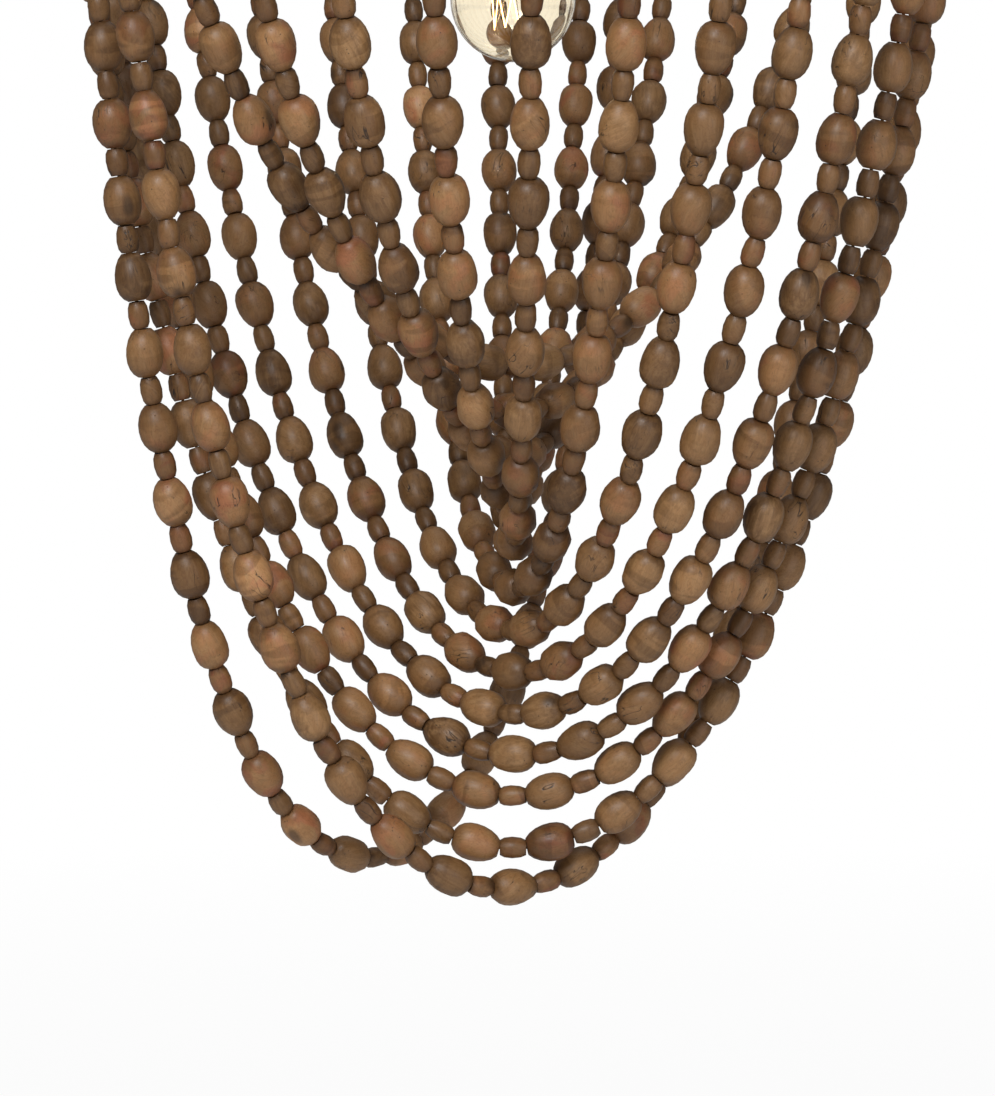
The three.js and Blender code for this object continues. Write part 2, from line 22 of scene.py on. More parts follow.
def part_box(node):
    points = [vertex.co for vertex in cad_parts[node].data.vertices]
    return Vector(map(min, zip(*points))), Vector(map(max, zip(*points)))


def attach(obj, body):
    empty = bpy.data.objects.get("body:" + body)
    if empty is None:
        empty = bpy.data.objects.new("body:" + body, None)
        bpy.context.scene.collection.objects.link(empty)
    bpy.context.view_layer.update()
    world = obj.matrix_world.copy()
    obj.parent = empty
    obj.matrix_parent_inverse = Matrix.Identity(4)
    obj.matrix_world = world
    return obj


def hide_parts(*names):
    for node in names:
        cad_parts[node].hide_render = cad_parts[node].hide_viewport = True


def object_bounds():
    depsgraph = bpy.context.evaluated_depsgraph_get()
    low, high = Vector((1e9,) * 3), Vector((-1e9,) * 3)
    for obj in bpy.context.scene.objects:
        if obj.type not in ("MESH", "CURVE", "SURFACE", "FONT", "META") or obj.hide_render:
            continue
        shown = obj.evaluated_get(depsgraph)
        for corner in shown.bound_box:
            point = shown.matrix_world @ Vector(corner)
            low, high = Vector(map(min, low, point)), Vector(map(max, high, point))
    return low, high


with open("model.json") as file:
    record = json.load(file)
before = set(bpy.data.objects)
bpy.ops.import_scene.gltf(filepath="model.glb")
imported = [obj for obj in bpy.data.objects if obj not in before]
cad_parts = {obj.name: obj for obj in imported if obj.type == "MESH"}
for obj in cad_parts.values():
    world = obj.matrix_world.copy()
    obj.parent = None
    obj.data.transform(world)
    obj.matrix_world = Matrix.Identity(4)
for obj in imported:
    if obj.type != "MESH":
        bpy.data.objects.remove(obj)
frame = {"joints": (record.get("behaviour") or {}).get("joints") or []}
CAD_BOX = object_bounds()

LOG = logging.getLogger("beaded_chandelier")
MM = 0.001
TURN = 2 * math.pi
UP = Vector((0, 0, 1))
Outline = list[tuple[float, float]]
Colour = tuple[float, float, float]


def linear(hex_code: int) -> Colour:
    """Turns a screen colour such as 0x7A5C40 into the linear values that shaders take.

    Args:
        hex_code: The colour as three bytes, red first.

    Returns:
        Red, green and blue from 0 to 1.
    """
    values = [((hex_code >> shift) & 255) / 255 for shift in (16, 8, 0)]
    return tuple(v / 12.92 if v <= 0.04045 else ((v + 0.055) / 1.055) ** 2.4 for v in values)


# ---- Finishes ----


class Graph:
    """The shader nodes of a finish, or of the world."""

    def __init__(self, owner: bpy.types.ID) -> None:
        """Starts an empty tree.

        Args:
            owner: The material or world that the nodes are for.
        """
        owner.use_nodes = True
        self.tree = owner.node_tree
        self.tree.nodes.clear()

    def add(self, kind: str, inputs: dict[Any, Any] | None = None, **settings: Any) -> Any:
        """Adds a node and fills its sockets.

        Args:
            kind: The node's type, without its ShaderNode prefix.
            inputs: What goes into each socket, by name or number: a value, or a socket to link.
            settings: The node's own properties.

        Returns:
            The new node.
        """
        node = self.tree.nodes.new("ShaderNode" + kind)
        for name, value in settings.items():
            setattr(node, name, value)
        for name, value in (inputs or {}).items():
            socket = node.inputs[name]
            if isinstance(value, bpy.types.NodeSocket):
                self.tree.links.new(value, socket)
            else:
                is_colour = socket.type == "RGBA" and len(value) == 3
                socket.default_value = (*value, 1) if is_colour else value
        return node

    def calc(self, operation: str, *values: Any) -> Any:
        """Works out a number from numbers or sockets, by one operation of the Math node."""
        return self.add("Math", dict(enumerate(values)), operation=operation).outputs[0]

    def times(self, *values: Any) -> Any:
        """Multiplies numbers or sockets, from the first to the last."""
        return reduce(lambda first, second: self.calc("MULTIPLY", first, second), values)

    def spread(
        self, value: Any, low: float, high: float, to_low: float = 0, to_high: float = 1
    ) -> Any:
        """Maps a socket's range from low to high to another range, and clamps it there."""
        inputs = {0: value, 1: low, 2: high, 3: to_low, 4: to_high}
        return self.add("MapRange", inputs).outputs[0]

    def blend(self, factor: Any, first: Any, second: Any, how: str = "MIX") -> Any:
        """Mixes two colours by a factor from 0 to 1, with one blend type of the Mix node."""
        inputs = {0: factor, 6: first, 7: second}
        return self.add("Mix", inputs, data_type="RGBA", blend_type=how).outputs[2]

    def ramp(self, value: Any, stops: Sequence[tuple[float, Colour]]) -> Any:
        """Turns a number into a colour.

        Args:
            value: The socket to read.
            stops: Positions from 0 to 1, each with its colour.

        Returns:
            The colour's socket.
        """
        node = self.add("ValToRGB", {0: value})
        elements = node.color_ramp.elements
        while len(elements) < len(stops):
            elements.new(0.5)
        for element, (position, colour) in zip(elements, stops):
            element.position = position
            element.color = (*colour, 1)
        return node.outputs[0]

    def noise(self, vector: Any, scale: float, detail: float = 2, distortion: float = 0) -> Any:
        """Adds a soft random pattern from 0 to 1, with finer layers and some swirl."""
        inputs = {"Vector": vector, "Scale": scale, "Detail": detail, "Distortion": distortion}
        return self.add("TexNoise", inputs).outputs[0]

    def cells(self, vector: Any, scale: float) -> Any:
        """Adds a pattern of cells, and gives the distance from the nearest cell's middle."""
        return self.add("TexVoronoi", {"Vector": vector, "Scale": scale}).outputs["Distance"]

    def stretched(self, vector: Any, scale: tuple[float, float, float]) -> Any:
        """Scales a pattern's place by axis, so that the pattern is finer along it."""
        return self.add("Mapping", {"Vector": vector, "Scale": scale}).outputs[0]

    def place(self) -> Any:
        """Gives the place on the piece, in metres."""
        return self.add("TexCoord").outputs["Object"]

    def bump(self, height: Any, depth: float, strength: float) -> Any:
        """Turns a height from 0 to 1, of a depth in metres, into a tilt of the surface."""
        inputs = {"Height": height, "Distance": depth, "Strength": strength}
        return self.add("Bump", inputs).outputs[0]

    def finish(self, colour: Any, roughness: Any, more: dict[str, Any]) -> None:
        """Ends a material with a principled surface.

        Args:
            colour: Its base colour.
            roughness: Its roughness.
            more: What goes into its other sockets.
        """
        inputs = {"Base Color": colour, "Roughness": roughness, **more}
        surface = self.add("BsdfPrincipled", inputs)
        self.add("OutputMaterial", {"Surface": surface.outputs[0]})


@dataclass(frozen=True)
class BeadWood:
    """Stained, turned wood that differs from bead to bead.

    It reads two attributes that each bead carries: bead_grain, a place in the log that the bead was
    cut from, in millimetres with the grain near Z, and bead_tone, which holds the picks of stain
    and brightness, the amount of figure, and how near the bead's end a point is. That last value
    darkens the bead's ends with painted shade where the beads meet.
    """

    name: str = "stained_bead_wood"
    dark: Colour = linear(0x5D4024)
    middle: Colour = linear(0x88643E)
    warm: Colour = linear(0x9E7248)
    pale: Colour = linear(0xB58E65)
    weathered: Colour = linear(0x9C7952)
    pore: Colour = linear(0x261A10)
    rust: Colour = linear(0xA0603F)
    fibre_scale: float = 1.5
    band_scale: float = 0.13
    line_scale: float = 0.16
    line_count: float = 40.0
    line_shade: float = 0.15
    patch_scale: float = 0.07
    knot_scale: float = 0.034
    knot_shade: float = 0.62
    crack_scale: float = 0.2
    crack_shade: float = 0.92
    pit_scale: float = 0.32
    pit_shade: float = 0.8
    # Painted shade: how dark a bead's ends are painted where they meet the next bead.
    painted_seam_shade: float = 0.62
    smooth: float = 0.36
    rough: float = 0.54
    gloss: float = 0.42
    relief: float = 0.3 * MM

    def build(self, g: Graph) -> None:
        """Joins the nodes.

        Args:
            g: The material's nodes.
        """
        grain = g.add("Attribute", attribute_name="bead_grain").outputs["Vector"]
        tone = g.add("Attribute", attribute_name="bead_tone")
        picks = g.add("SeparateColor", {0: tone.outputs["Color"]}).outputs
        nearness = tone.outputs["Alpha"]

        along = g.stretched(grain, (1, 1, 0.1))
        fibres = g.noise(along, self.fibre_scale, 4, 0.5)
        coarse = g.noise(along, self.fibre_scale * 0.3, 3, 0.8)
        patches = g.noise(grain, self.patch_scale, 3, 0.8)
        stripes = g.noise(g.stretched(grain, (0.22, 0.22, 1)), self.band_scale, 2, 0.5)
        figure = g.noise(g.stretched(grain, (1, 1, 0.45)), self.line_scale, 2, 1.4)
        contours = g.calc("SINE", g.times(g.calc("ADD", stripes, figure), self.line_count))
        lines = g.spread(contours, 0.55, 1.0)

        stain = g.calc("ADD", g.times(picks[0], 0.6), g.times(patches, 0.5))
        stops = [(0.12, self.dark), (0.4, self.middle), (0.7, self.warm), (0.92, self.pale)]
        colour = g.ramp(g.calc("SUBTRACT", stain, 0.06), stops)
        colour = g.blend(g.spread(coarse, 0.42, 0.68, 0, 0.55), colour, self.weathered)
        red = g.times(g.spread(patches, 0.5, 0.64), g.spread(picks[0], 0.5, 0.8, 0, 0.75))
        colour = g.blend(red, colour, self.rust)

        bands = g.times(g.spread(stripes, 0.475, 0.545), g.spread(picks[2], 0.3, 0.9, 0, 0.3))
        # The last factor is painted shade: each bead darkens towards its ends, where it meets the
        # next bead.
        level = g.times(
            g.spread(picks[1], 0, 1, 0.38, 1.24),
            g.spread(fibres, 0.3, 0.72, 0.87, 1.1),
            g.calc("SUBTRACT", 1.0, bands),
            g.calc("SUBTRACT", 1.0, g.times(lines, self.line_shade)),
            g.spread(nearness, 0.55, 1.0, 1.0, self.painted_seam_shade),
        )
        richer = {0: level, 1: g.calc("POWER", level, 1.12), 2: g.calc("POWER", level, 1.3)}
        colour = g.blend(1.0, colour, g.add("CombineColor", richer).outputs[0], "MULTIPLY")

        knots = g.cells(g.stretched(grain, (1, 1, 0.5)), self.knot_scale)
        cracks = g.calc("SUBTRACT", g.noise(along, self.crack_scale, 2, 0.3), 0.5)
        cracks = g.spread(g.calc("ABSOLUTE", cracks), 0.003, 0.012, 1, 0)
        cracks = g.times(cracks, g.spread(g.noise(grain, 0.06, 1), 0.6, 0.66))
        pits = g.spread(g.cells(grain, self.pit_scale), 0.06, 0.13, 1, 0)
        pits = g.times(pits, g.spread(g.noise(grain, 0.1, 1), 0.52, 0.6))
        marks = g.times(g.spread(knots, 0.06, 0.13, 1, 0), self.knot_shade)
        marks = g.calc("MAXIMUM", marks, g.times(cracks, self.crack_shade))
        marks = g.calc("MAXIMUM", marks, g.times(pits, self.pit_shade))
        colour = g.blend(marks, colour, self.pore)

        height = g.calc("SUBTRACT", g.times(fibres, 0.35), g.calc("MAXIMUM", cracks, pits))
        height = g.calc("SUBTRACT", height, g.times(lines, 0.12))
        more = {"Specular IOR Level": self.gloss, "Normal": g.bump(height, self.relief, 0.5)}
        g.finish(colour, g.spread(fibres, 0.3, 0.7, self.smooth, self.rough), more)


@dataclass(frozen=True)
class ColumnWood:
    """Stained wood of the turned column, with its grain along Z."""

    name: str = "stained_column_wood"
    dark: Colour = linear(0x3E2C1F)
    pale: Colour = linear(0x7B5B40)
    fibre_scale: float = 620
    figure_scale: float = 90
    band_count: float = 38.0
    relief: float = 0.2 * MM

    def build(self, g: Graph) -> None:
        """Joins the nodes.

        Args:
            g: The material's nodes.
        """
        place = g.place()
        fibres = g.noise(g.stretched(place, (1, 1, 0.06)), self.fibre_scale, 4, 0.5)
        figure = g.noise(g.stretched(place, (1, 1, 0.2)), self.figure_scale, 2, 1.4)
        bands = g.spread(g.calc("SINE", g.times(figure, self.band_count)), -0.6, 1.0)
        shade = g.calc("ADD", g.times(fibres, 0.75), g.times(bands, 0.22))
        colour = g.ramp(shade, [(0.25, self.dark), (0.75, self.pale)])
        more = {"Specular IOR Level": 0.4, "Normal": g.bump(fibres, self.relief, 0.4)}
        g.finish(colour, g.spread(fibres, 0.3, 0.7, 0.42, 0.56), more)


@dataclass(frozen=True)
class Metal:
    """A metal with fine scratches, patches of dulling and, where it is worn, a paler tone."""

    name: str
    base: Colour
    worn: Colour
    metallic: float
    smooth: float
    rough: float
    patch_scale: float = 60
    scratch_scale: float = 900
    scratch_depth: float = 0.02 * MM

    def build(self, g: Graph) -> None:
        """Joins the nodes.

        Args:
            g: The material's nodes.
        """
        place = g.place()
        patches = g.noise(place, self.patch_scale, 4, 0.6)
        fine = g.noise(g.stretched(place, (1, 1, 5)), self.scratch_scale, 3)
        edges = g.add("NewGeometry").outputs["Pointiness"]
        wear = g.times(g.spread(edges, 0.52, 0.6), g.spread(patches, 0.35, 0.6))
        shade = g.calc("MAXIMUM", wear, g.spread(patches, 0.55, 0.8, 0, 0.45))
        dulling = g.spread(patches, 0.3, 0.75, self.smooth, self.rough)
        roughness = g.calc("ADD", dulling, g.spread(fine, 0.35, 0.75, -0.04, 0.08))
        more = {"Metallic": self.metallic, "Normal": g.bump(fine, self.scratch_depth, 0.5)}
        g.finish(g.blend(shade, self.base, self.worn), roughness, more)


@dataclass(frozen=True)
class Porcelain:
    """Glazed off-white porcelain with faint speckles."""

    name: str = "porcelain"
    glaze: Colour = linear(0xE9E3D5)
    shade: Colour = linear(0xD8CFBC)
    speck: Colour = linear(0xB9AB92)
    relief: float = 0.15 * MM

    def build(self, g: Graph) -> None:
        """Joins the nodes.

        Args:
            g: The material's nodes.
        """
        place = g.place()
        specks = g.spread(g.cells(place, 420), 0.04, 0.1, 0.5, 0)
        cloud = g.noise(place, 70, 3)
        colour = g.blend(g.spread(cloud, 0.3, 0.7, 0, 0.25), self.glaze, self.shade)
        more = {"Coat Weight": 0.4, "Normal": g.bump(cloud, self.relief, 0.3)}
        g.finish(g.blend(specks, colour, self.speck), g.spread(cloud, 0.3, 0.7, 0.14, 0.24), more)


@dataclass(frozen=True)
class ClearGlass:
    """Clear lamp glass, very faintly warm."""

    name: str = "clear_glass"
    tint: Colour = linear(0xFFF8E8)
    relief: float = 0.1 * MM

    def build(self, g: Graph) -> None:
        """Joins the nodes.

        Args:
            g: The material's nodes.
        """
        ripple = g.noise(g.place(), 45, 2)
        normal = g.bump(ripple, self.relief, 0.08)
        more = {"Transmission Weight": 1.0, "IOR": 1.45, "Normal": normal}
        g.finish(self.tint, g.spread(ripple, 0.3, 0.7, 0.0, 0.02), more)


@dataclass(frozen=True)
class Glow:
    """The lit filament."""

    name: str = "filament_glow"
    wire: Colour = linear(0xE0A050)
    light: Colour = linear(0xFFCE8A)
    power: float = 9.0

    def build(self, g: Graph) -> None:
        """Joins the nodes.

        Args:
            g: The material's nodes.
        """
        roughness = g.spread(g.noise(g.place(), 400, 1), 0.3, 0.7, 0.4, 0.6)
        more = {"Emission Color": self.light, "Emission Strength": self.power}
        g.finish(self.wire, roughness, more)


@dataclass(frozen=True)
class WaxedThread:
    """Dark waxed thread of three laid yarns."""

    name: str = "waxed_thread"
    dark: Colour = linear(0x2B2019)
    pale: Colour = linear(0x5D4936)
    relief: float = 0.1 * MM

    def build(self, g: Graph) -> None:
        """Joins the nodes.

        Args:
            g: The material's nodes.
        """
        place = g.place()
        yarns = {"Vector": place, "Scale": 420, "Distortion": 1.5}
        lay = g.add("TexWave", yarns, bands_direction="DIAGONAL").outputs[1]
        fuzz = g.noise(place, 1500, 2)
        shade = g.calc("ADD", g.times(lay, 0.6), g.times(fuzz, 0.4))
        colour = g.ramp(shade, [(0.2, self.dark), (0.85, self.pale)])
        more = {"Normal": g.bump(shade, self.relief, 0.6)}
        g.finish(colour, g.spread(fuzz, 0.3, 0.7, 0.55, 0.75), more)


BRONZE = Metal("dark_bronze", linear(0x3A2E26), linear(0x6E5540), 0.75, 0.34, 0.52)
BRASS = Metal("aged_brass", linear(0xA78347), linear(0xC9A766), 1.0, 0.26, 0.46)
ZINC = Metal("zinc_steel", linear(0x9A9A98), linear(0xBDBCB8), 1.0, 0.3, 0.5)
NICKEL = Metal("lamp_nickel", linear(0xC2BDB2), linear(0xDAD6CC), 1.0, 0.18, 0.34)
SOLDER = Metal("solder", linear(0x8E8E8C), linear(0xB5B5B2), 1.0, 0.3, 0.45)
INSULATOR = Metal("black_insulator", linear(0x17130F), linear(0x2C2620), 0.0, 0.16, 0.3)


class Finish(Enum):
    """The finishes of this chandelier, each with the record's slot that it belongs to."""

    BEADS = (BeadWood(), "bead_wood")
    COLUMN = (ColumnWood(), "column_wood")
    BRONZE = (BRONZE, "bronze_paint")
    BRASS = (BRASS, "brass")
    STEEL = (ZINC, "steel")
    PORCELAIN = (Porcelain(), "ceramic")
    GLASS = (ClearGlass(), "lamp_glass")
    THREAD = (WaxedThread(), "bead_wood")
    GLOW = (Glow(), "brass")
    NICKEL = (NICKEL, "brass")
    SOLDER = (SOLDER, "brass")
    INSULATOR = (INSULATOR, "ceramic")

    def material(self) -> bpy.types.Material:
        """Gives this finish's material, which is made once.

        Returns:
            The material.
        """
        recipe = self.value[0]
        material = bpy.data.materials.get(recipe.name)
        if material is None:
            material = bpy.data.materials.new(recipe.name)
            recipe.build(Graph(material))
        return material


# ---- Shapes ----


def placed(point: Vector, tangent: Vector, side: Vector, size: float = 1) -> Matrix:
    """Gives the matrix that puts a section across a path.

    Args:
        point: Where the section goes.
        tangent: The path's direction, which becomes the section's Z.
        side: The section's X.
        size: How much the section is scaled.

    Returns:
        The matrix.
    """
    z = tangent.normalized()
    x = (side - z * side.dot(z)).normalized()
    turn = Matrix((x, z.cross(x), z)).transposed().to_4x4()
    return Matrix.Translation(point) @ turn @ Matrix.Scale(size, 4)


def added(name: str, data: Any) -> bpy.types.Object:
    """Puts a new object in the scene.

    Args:
        name: Its name.
        data: Its mesh, camera or light.

    Returns:
        The object.
    """
    thing = bpy.data.objects.new(name, data)
    bpy.context.scene.collection.objects.link(thing)
    return thing


class Shape:
    """A mesh in the making."""

    def __init__(self) -> None:
        """Starts empty."""
        self.bm = bmesh.new()

    def transform(self, verts: Iterable[bmesh.types.BMVert], matrix: Matrix) -> None:
        """Moves some points by a matrix."""
        bmesh.ops.transform(self.bm, matrix=matrix, verts=list(verts))

    def turned(self, outline: Outline, steps: int, matrix: Matrix | None = None) -> "Shape":
        """Turns an outline of radius and height about Z. One that starts off the axis is closed.

        Args:
            outline: The points, in order.
            steps: How many steps a turn has.
            matrix: Where the turned solid goes.

        Returns:
            This shape.
        """
        before = set(self.bm.verts)
        verts = [self.bm.verts.new((radius, 0, height)) for radius, height in outline]
        edges = [self.bm.edges.new(pair) for pair in zip(verts, verts[1:])]
        if outline[0][0] > 0:
            edges.append(self.bm.edges.new((verts[-1], verts[0])))
        bmesh.ops.spin(
            self.bm,
            geom=verts + edges,
            cent=(0, 0, 0),
            axis=UP,
            dvec=(0, 0, 0),
            angle=TURN,
            steps=steps,
            use_merge=True,
        )
        new = [v for v in self.bm.verts if v not in before]
        bmesh.ops.remove_doubles(self.bm, verts=new, dist=0.001 * MM)
        new = [v for v in self.bm.verts if v not in before]
        faces = list({face for v in new for face in v.link_faces})
        bmesh.ops.recalc_face_normals(self.bm, faces=faces)
        if matrix:
            self.transform(new, matrix)
        return self

    def swept(self, section: Outline, path: Sequence[Matrix], closed: bool = False) -> "Shape":
        """Carries a closed section along a path.

        Args:
            section: The section's points, in its own plane.
            path: The section's places, one after another.
            closed: Whether the path's end joins its start.

        Returns:
            This shape.
        """
        verts = [self.bm.verts.new((x, y, 0)) for x, y in section]
        first = [self.bm.edges.new((v, verts[i - 1])) for i, v in enumerate(verts)]
        self.transform(verts, path[0])
        faces = []
        loop = first
        for here, there in zip(path, path[1:]):
            made = bmesh.ops.extrude_edge_only(self.bm, edges=loop)["geom"]
            verts = [g for g in made if isinstance(g, bmesh.types.BMVert)]
            faces += [g for g in made if isinstance(g, bmesh.types.BMFace)]
            edges = [g for g in made if isinstance(g, bmesh.types.BMEdge)]
            moved = set(verts)
            loop = [e for e in edges if e.verts[0] in moved and e.verts[1] in moved]
            self.transform(verts, there @ here.inverted())
        if closed:
            faces += bmesh.ops.bridge_loops(self.bm, edges=first + loop)["faces"]
        else:
            for end in (first, loop):
                faces += bmesh.ops.holes_fill(self.bm, edges=end, sides=len(end))["faces"]
        bmesh.ops.recalc_face_normals(self.bm, faces=faces)
        return self

    def block(self, low: Vector, high: Vector, edge: float = 0) -> "Shape":
        """Adds a box.

        Args:
            low: Its lowest corner.
            high: Its highest corner.
            edge: How wide its rounded edges are, or 0 for sharp ones.

        Returns:
            This shape.
        """
        matrix = Matrix.Translation((low + high) / 2) @ Matrix.Diagonal((*(high - low), 1))
        verts = bmesh.ops.create_cube(self.bm, size=1, matrix=matrix)["verts"]
        if edge:
            bmesh.ops.bevel(
                self.bm,
                geom=list({e for v in verts for e in v.link_edges}),
                offset=edge,
                segments=2,
                profile=0.5,
                affect="EDGES",
                material=-1,
            )
        return self

    def cut_by(self, tools: Sequence["Shape"], name: str) -> None:
        """Takes other shapes out of this one.

        Args:
            tools: What is taken out. They are used up.
            name: A name for the work in hand.
        """
        body = added(name, bpy.data.meshes.new(name))
        self.bm.to_mesh(body.data)
        for i, tool in enumerate(tools):
            cutter = added(f"{name}_cutter_{i}", bpy.data.meshes.new(name))
            tool.bm.to_mesh(cutter.data)
            tool.bm.free()
            boolean = body.modifiers.new("cut", "BOOLEAN")
            boolean.operation = "DIFFERENCE"
            boolean.solver = "EXACT"
            boolean.object = cutter
        bpy.context.view_layer.update()
        ready = body.evaluated_get(bpy.context.evaluated_depsgraph_get())
        self.bm.clear()
        self.bm.from_mesh(ready.to_mesh())
        ready.to_mesh_clear()
        cutters = [modifier.object for modifier in body.modifiers]
        body.modifiers.clear()
        for used in (*cutters, body):
            bpy.data.objects.remove(used)

    def piece(
        self,
        name: str,
        body: str,
        finish: Finish,
        replaces: Sequence[str] = (),
        sharp_degrees: float = 35,
    ) -> None:
        """Ends the shape as a piece of the chandelier.

        Args:
            name: The piece's name.
            body: The body that it moves with.
            finish: What it is made of.
            replaces: The nodes of the frame that it stands for.
            sharp_degrees: Edges that turn by more than this stay sharp.
        """
        mesh = bpy.data.meshes.new(name)
        self.bm.to_mesh(mesh)
        self.bm.free()
        for face in mesh.polygons:
            face.use_smooth = True
        mesh.set_sharp_from_angle(angle=math.radians(sharp_degrees))
        mesh.materials.append(finish.material())
        piece = added(name, mesh)
        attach(piece, body)
        if replaces:
            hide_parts(*replaces)
        LOG.info("%s: %d faces, rides on %s", name, len(mesh.polygons), body)


def circle(radius: float, sides: int) -> Outline:
    """Gives the corners of a round section.

    Args:
        radius: Its radius.
        sides: How many corners it has.

    Returns:
        The corners, in order.
    """
    angles = [TURN * i / sides for i in range(sides)]
    return [(radius * math.cos(a), radius * math.sin(a)) for a in angles]


def fitted(shares: Outline, radius: float, foot: float, height: float) -> Outline:
    """Sizes an outline that is told in shares.

    Args:
        shares: The points, each as a share of the radius and of the height.
        radius: What a share of 1 is across.
        foot: The height that a share of 0 is at.
        height: What a share of 1 is above the foot.

    Returns:
        Radius and height of each point.
    """
    return [(radius * share, foot + height * rise) for share, rise in shares]


def rounded_bar(width: float, height: float, corner: float, steps: int = 3) -> Outline:
    """Gives the corners of a bar's section with rounded corners.

    Args:
        width: Its size along the section's X.
        height: Its size along the section's Y.
        corner: The corners' radius.
        steps: How many steps each corner has.

    Returns:
        The points, in order.
    """
    points = []
    for quarter, (sx, sy) in enumerate([(1, 1), (-1, 1), (-1, -1), (1, -1)]):
        cx = sx * (width / 2 - corner)
        cy = sy * (height / 2 - corner)
        for i in range(steps + 1):
            angle = (quarter + i / steps) * TURN / 4
            points.append((cx + corner * math.cos(angle), cy + corner * math.sin(angle)))
    return points


def path_frames(points: Sequence[Vector], side: Vector, closed: bool = False) -> list[Matrix]:
    """Gives a section's places along points that lie in a plane, or nearly.

    Args:
        points: The path.
        side: A direction across the path, such as its plane's normal.
        closed: Whether the path's end joins its start.

    Returns:
        The places.
    """
    count = len(points)
    frames = []
    for i, point in enumerate(points):
        before = points[i - 1] if closed or i else points[0]
        after = points[(i + 1) % count] if closed or i < count - 1 else points[-1]
        frames.append(placed(point, after - before, side))
    return frames


def arc(
    centre: Vector, first: Vector, second: Vector, start: float, end: float, steps: int
) -> list[Vector]:
    """Gives points along an arc.

    Args:
        centre: The arc's middle.
        first: The arm at angle 0, as long as the radius.
        second: The arm at a quarter turn.
        start: The angle where it starts.
        end: The angle where it ends.
        steps: How many steps it has.

    Returns:
        The points.
    """
    angles = [start + (end - start) * i / steps for i in range(steps + 1)]
    return [centre + first * math.cos(a) + second * math.sin(a) for a in angles]


# ---- Bead strands ----


@dataclass(frozen=True)
class HangingCurve:
    """A thread hung between two pegs at one height: a catenary, told by the distance along it."""

    middle: Vector
    forward: Vector
    span: float
    length: float

    def size(self) -> float:
        """Works out the catenary's size from its span and length, by halving.

        Returns:
            The size, in metres.
        """
        low, high = 1e-3, 20.0
        for _ in range(60):
            u = (low + high) / 2
            if math.sinh(u) / u > self.length / self.span:
                high = u
            else:
                low = u
        return self.span / (low + high)

    def follower(self) -> Callable[[float], Vector]:
        """Gives a function from the distance along the thread to the place there.

        Returns:
            The function.
        """
        size = self.size()
        drop = size * math.cosh(self.span / (2 * size))

        def at(distance: float) -> Vector:
            """Gives the place at a distance along the thread."""
            t = math.asinh((distance - self.length / 2) / size)
            return self.middle + self.forward * (size * t) + UP * (size * math.cosh(t) - drop)

        return at


@dataclass(frozen=True)
class BeadForm:
    """One kind of bead: a barrel with flat ends."""

    length: float
    radius: float
    fullness: float
    end_share: float
    stations: tuple[float, ...]
    sides: int

    def outline(self, skew: float) -> Outline:
        """Gives the barrel's outline.

        Args:
            skew: How far its thickest place is off the middle, as a share of half its length.

        Returns:
            Radius and height from one end to the other.
        """
        half = self.length / 2
        reach = (1 - self.end_share**self.fullness) ** (1 / self.fullness)
        points: Outline = [(0.0, -half)]
        for station in self.stations:
            swell = (1 - (abs(station) * reach) ** self.fullness) ** (1 / self.fullness)
            bent = station + skew * (1 - station * station)
            points.append((self.radius * swell, half * bent))
        points.append((0.0, half))
        return points

    def mesh(self, skew: float) -> bpy.types.Mesh:
        """Makes one bead about Z.

        Args:
            skew: How far its thickest place is off the middle, as a share of half its length.

        Returns:
            A mesh to copy, with room for the two attributes.
        """
        shape = Shape().turned(self.outline(skew), self.sides)
        flat = [f for f in shape.bm.faces if abs(f.normal.z) > 0.99]
        bmesh.ops.dissolve_faces(shape.bm, faces=flat)
        shape.bm.verts.layers.float_vector.new("bead_grain")
        shape.bm.verts.layers.float_color.new("bead_tone")
        mesh = bpy.data.meshes.new("bead_pattern")
        shape.bm.to_mesh(mesh)
        shape.bm.free()
        return mesh


LARGE = BeadForm(23 * MM, 9.1 * MM, 2.1, 0.44, (-1, -0.84, -0.6, -0.31, 0, 0.31, 0.6, 0.84, 1), 10)
SMALL = BeadForm(13 * MM, 5.25 * MM, 2.3, 0.7, (-1, -0.62, 0, 0.62, 1), 9)


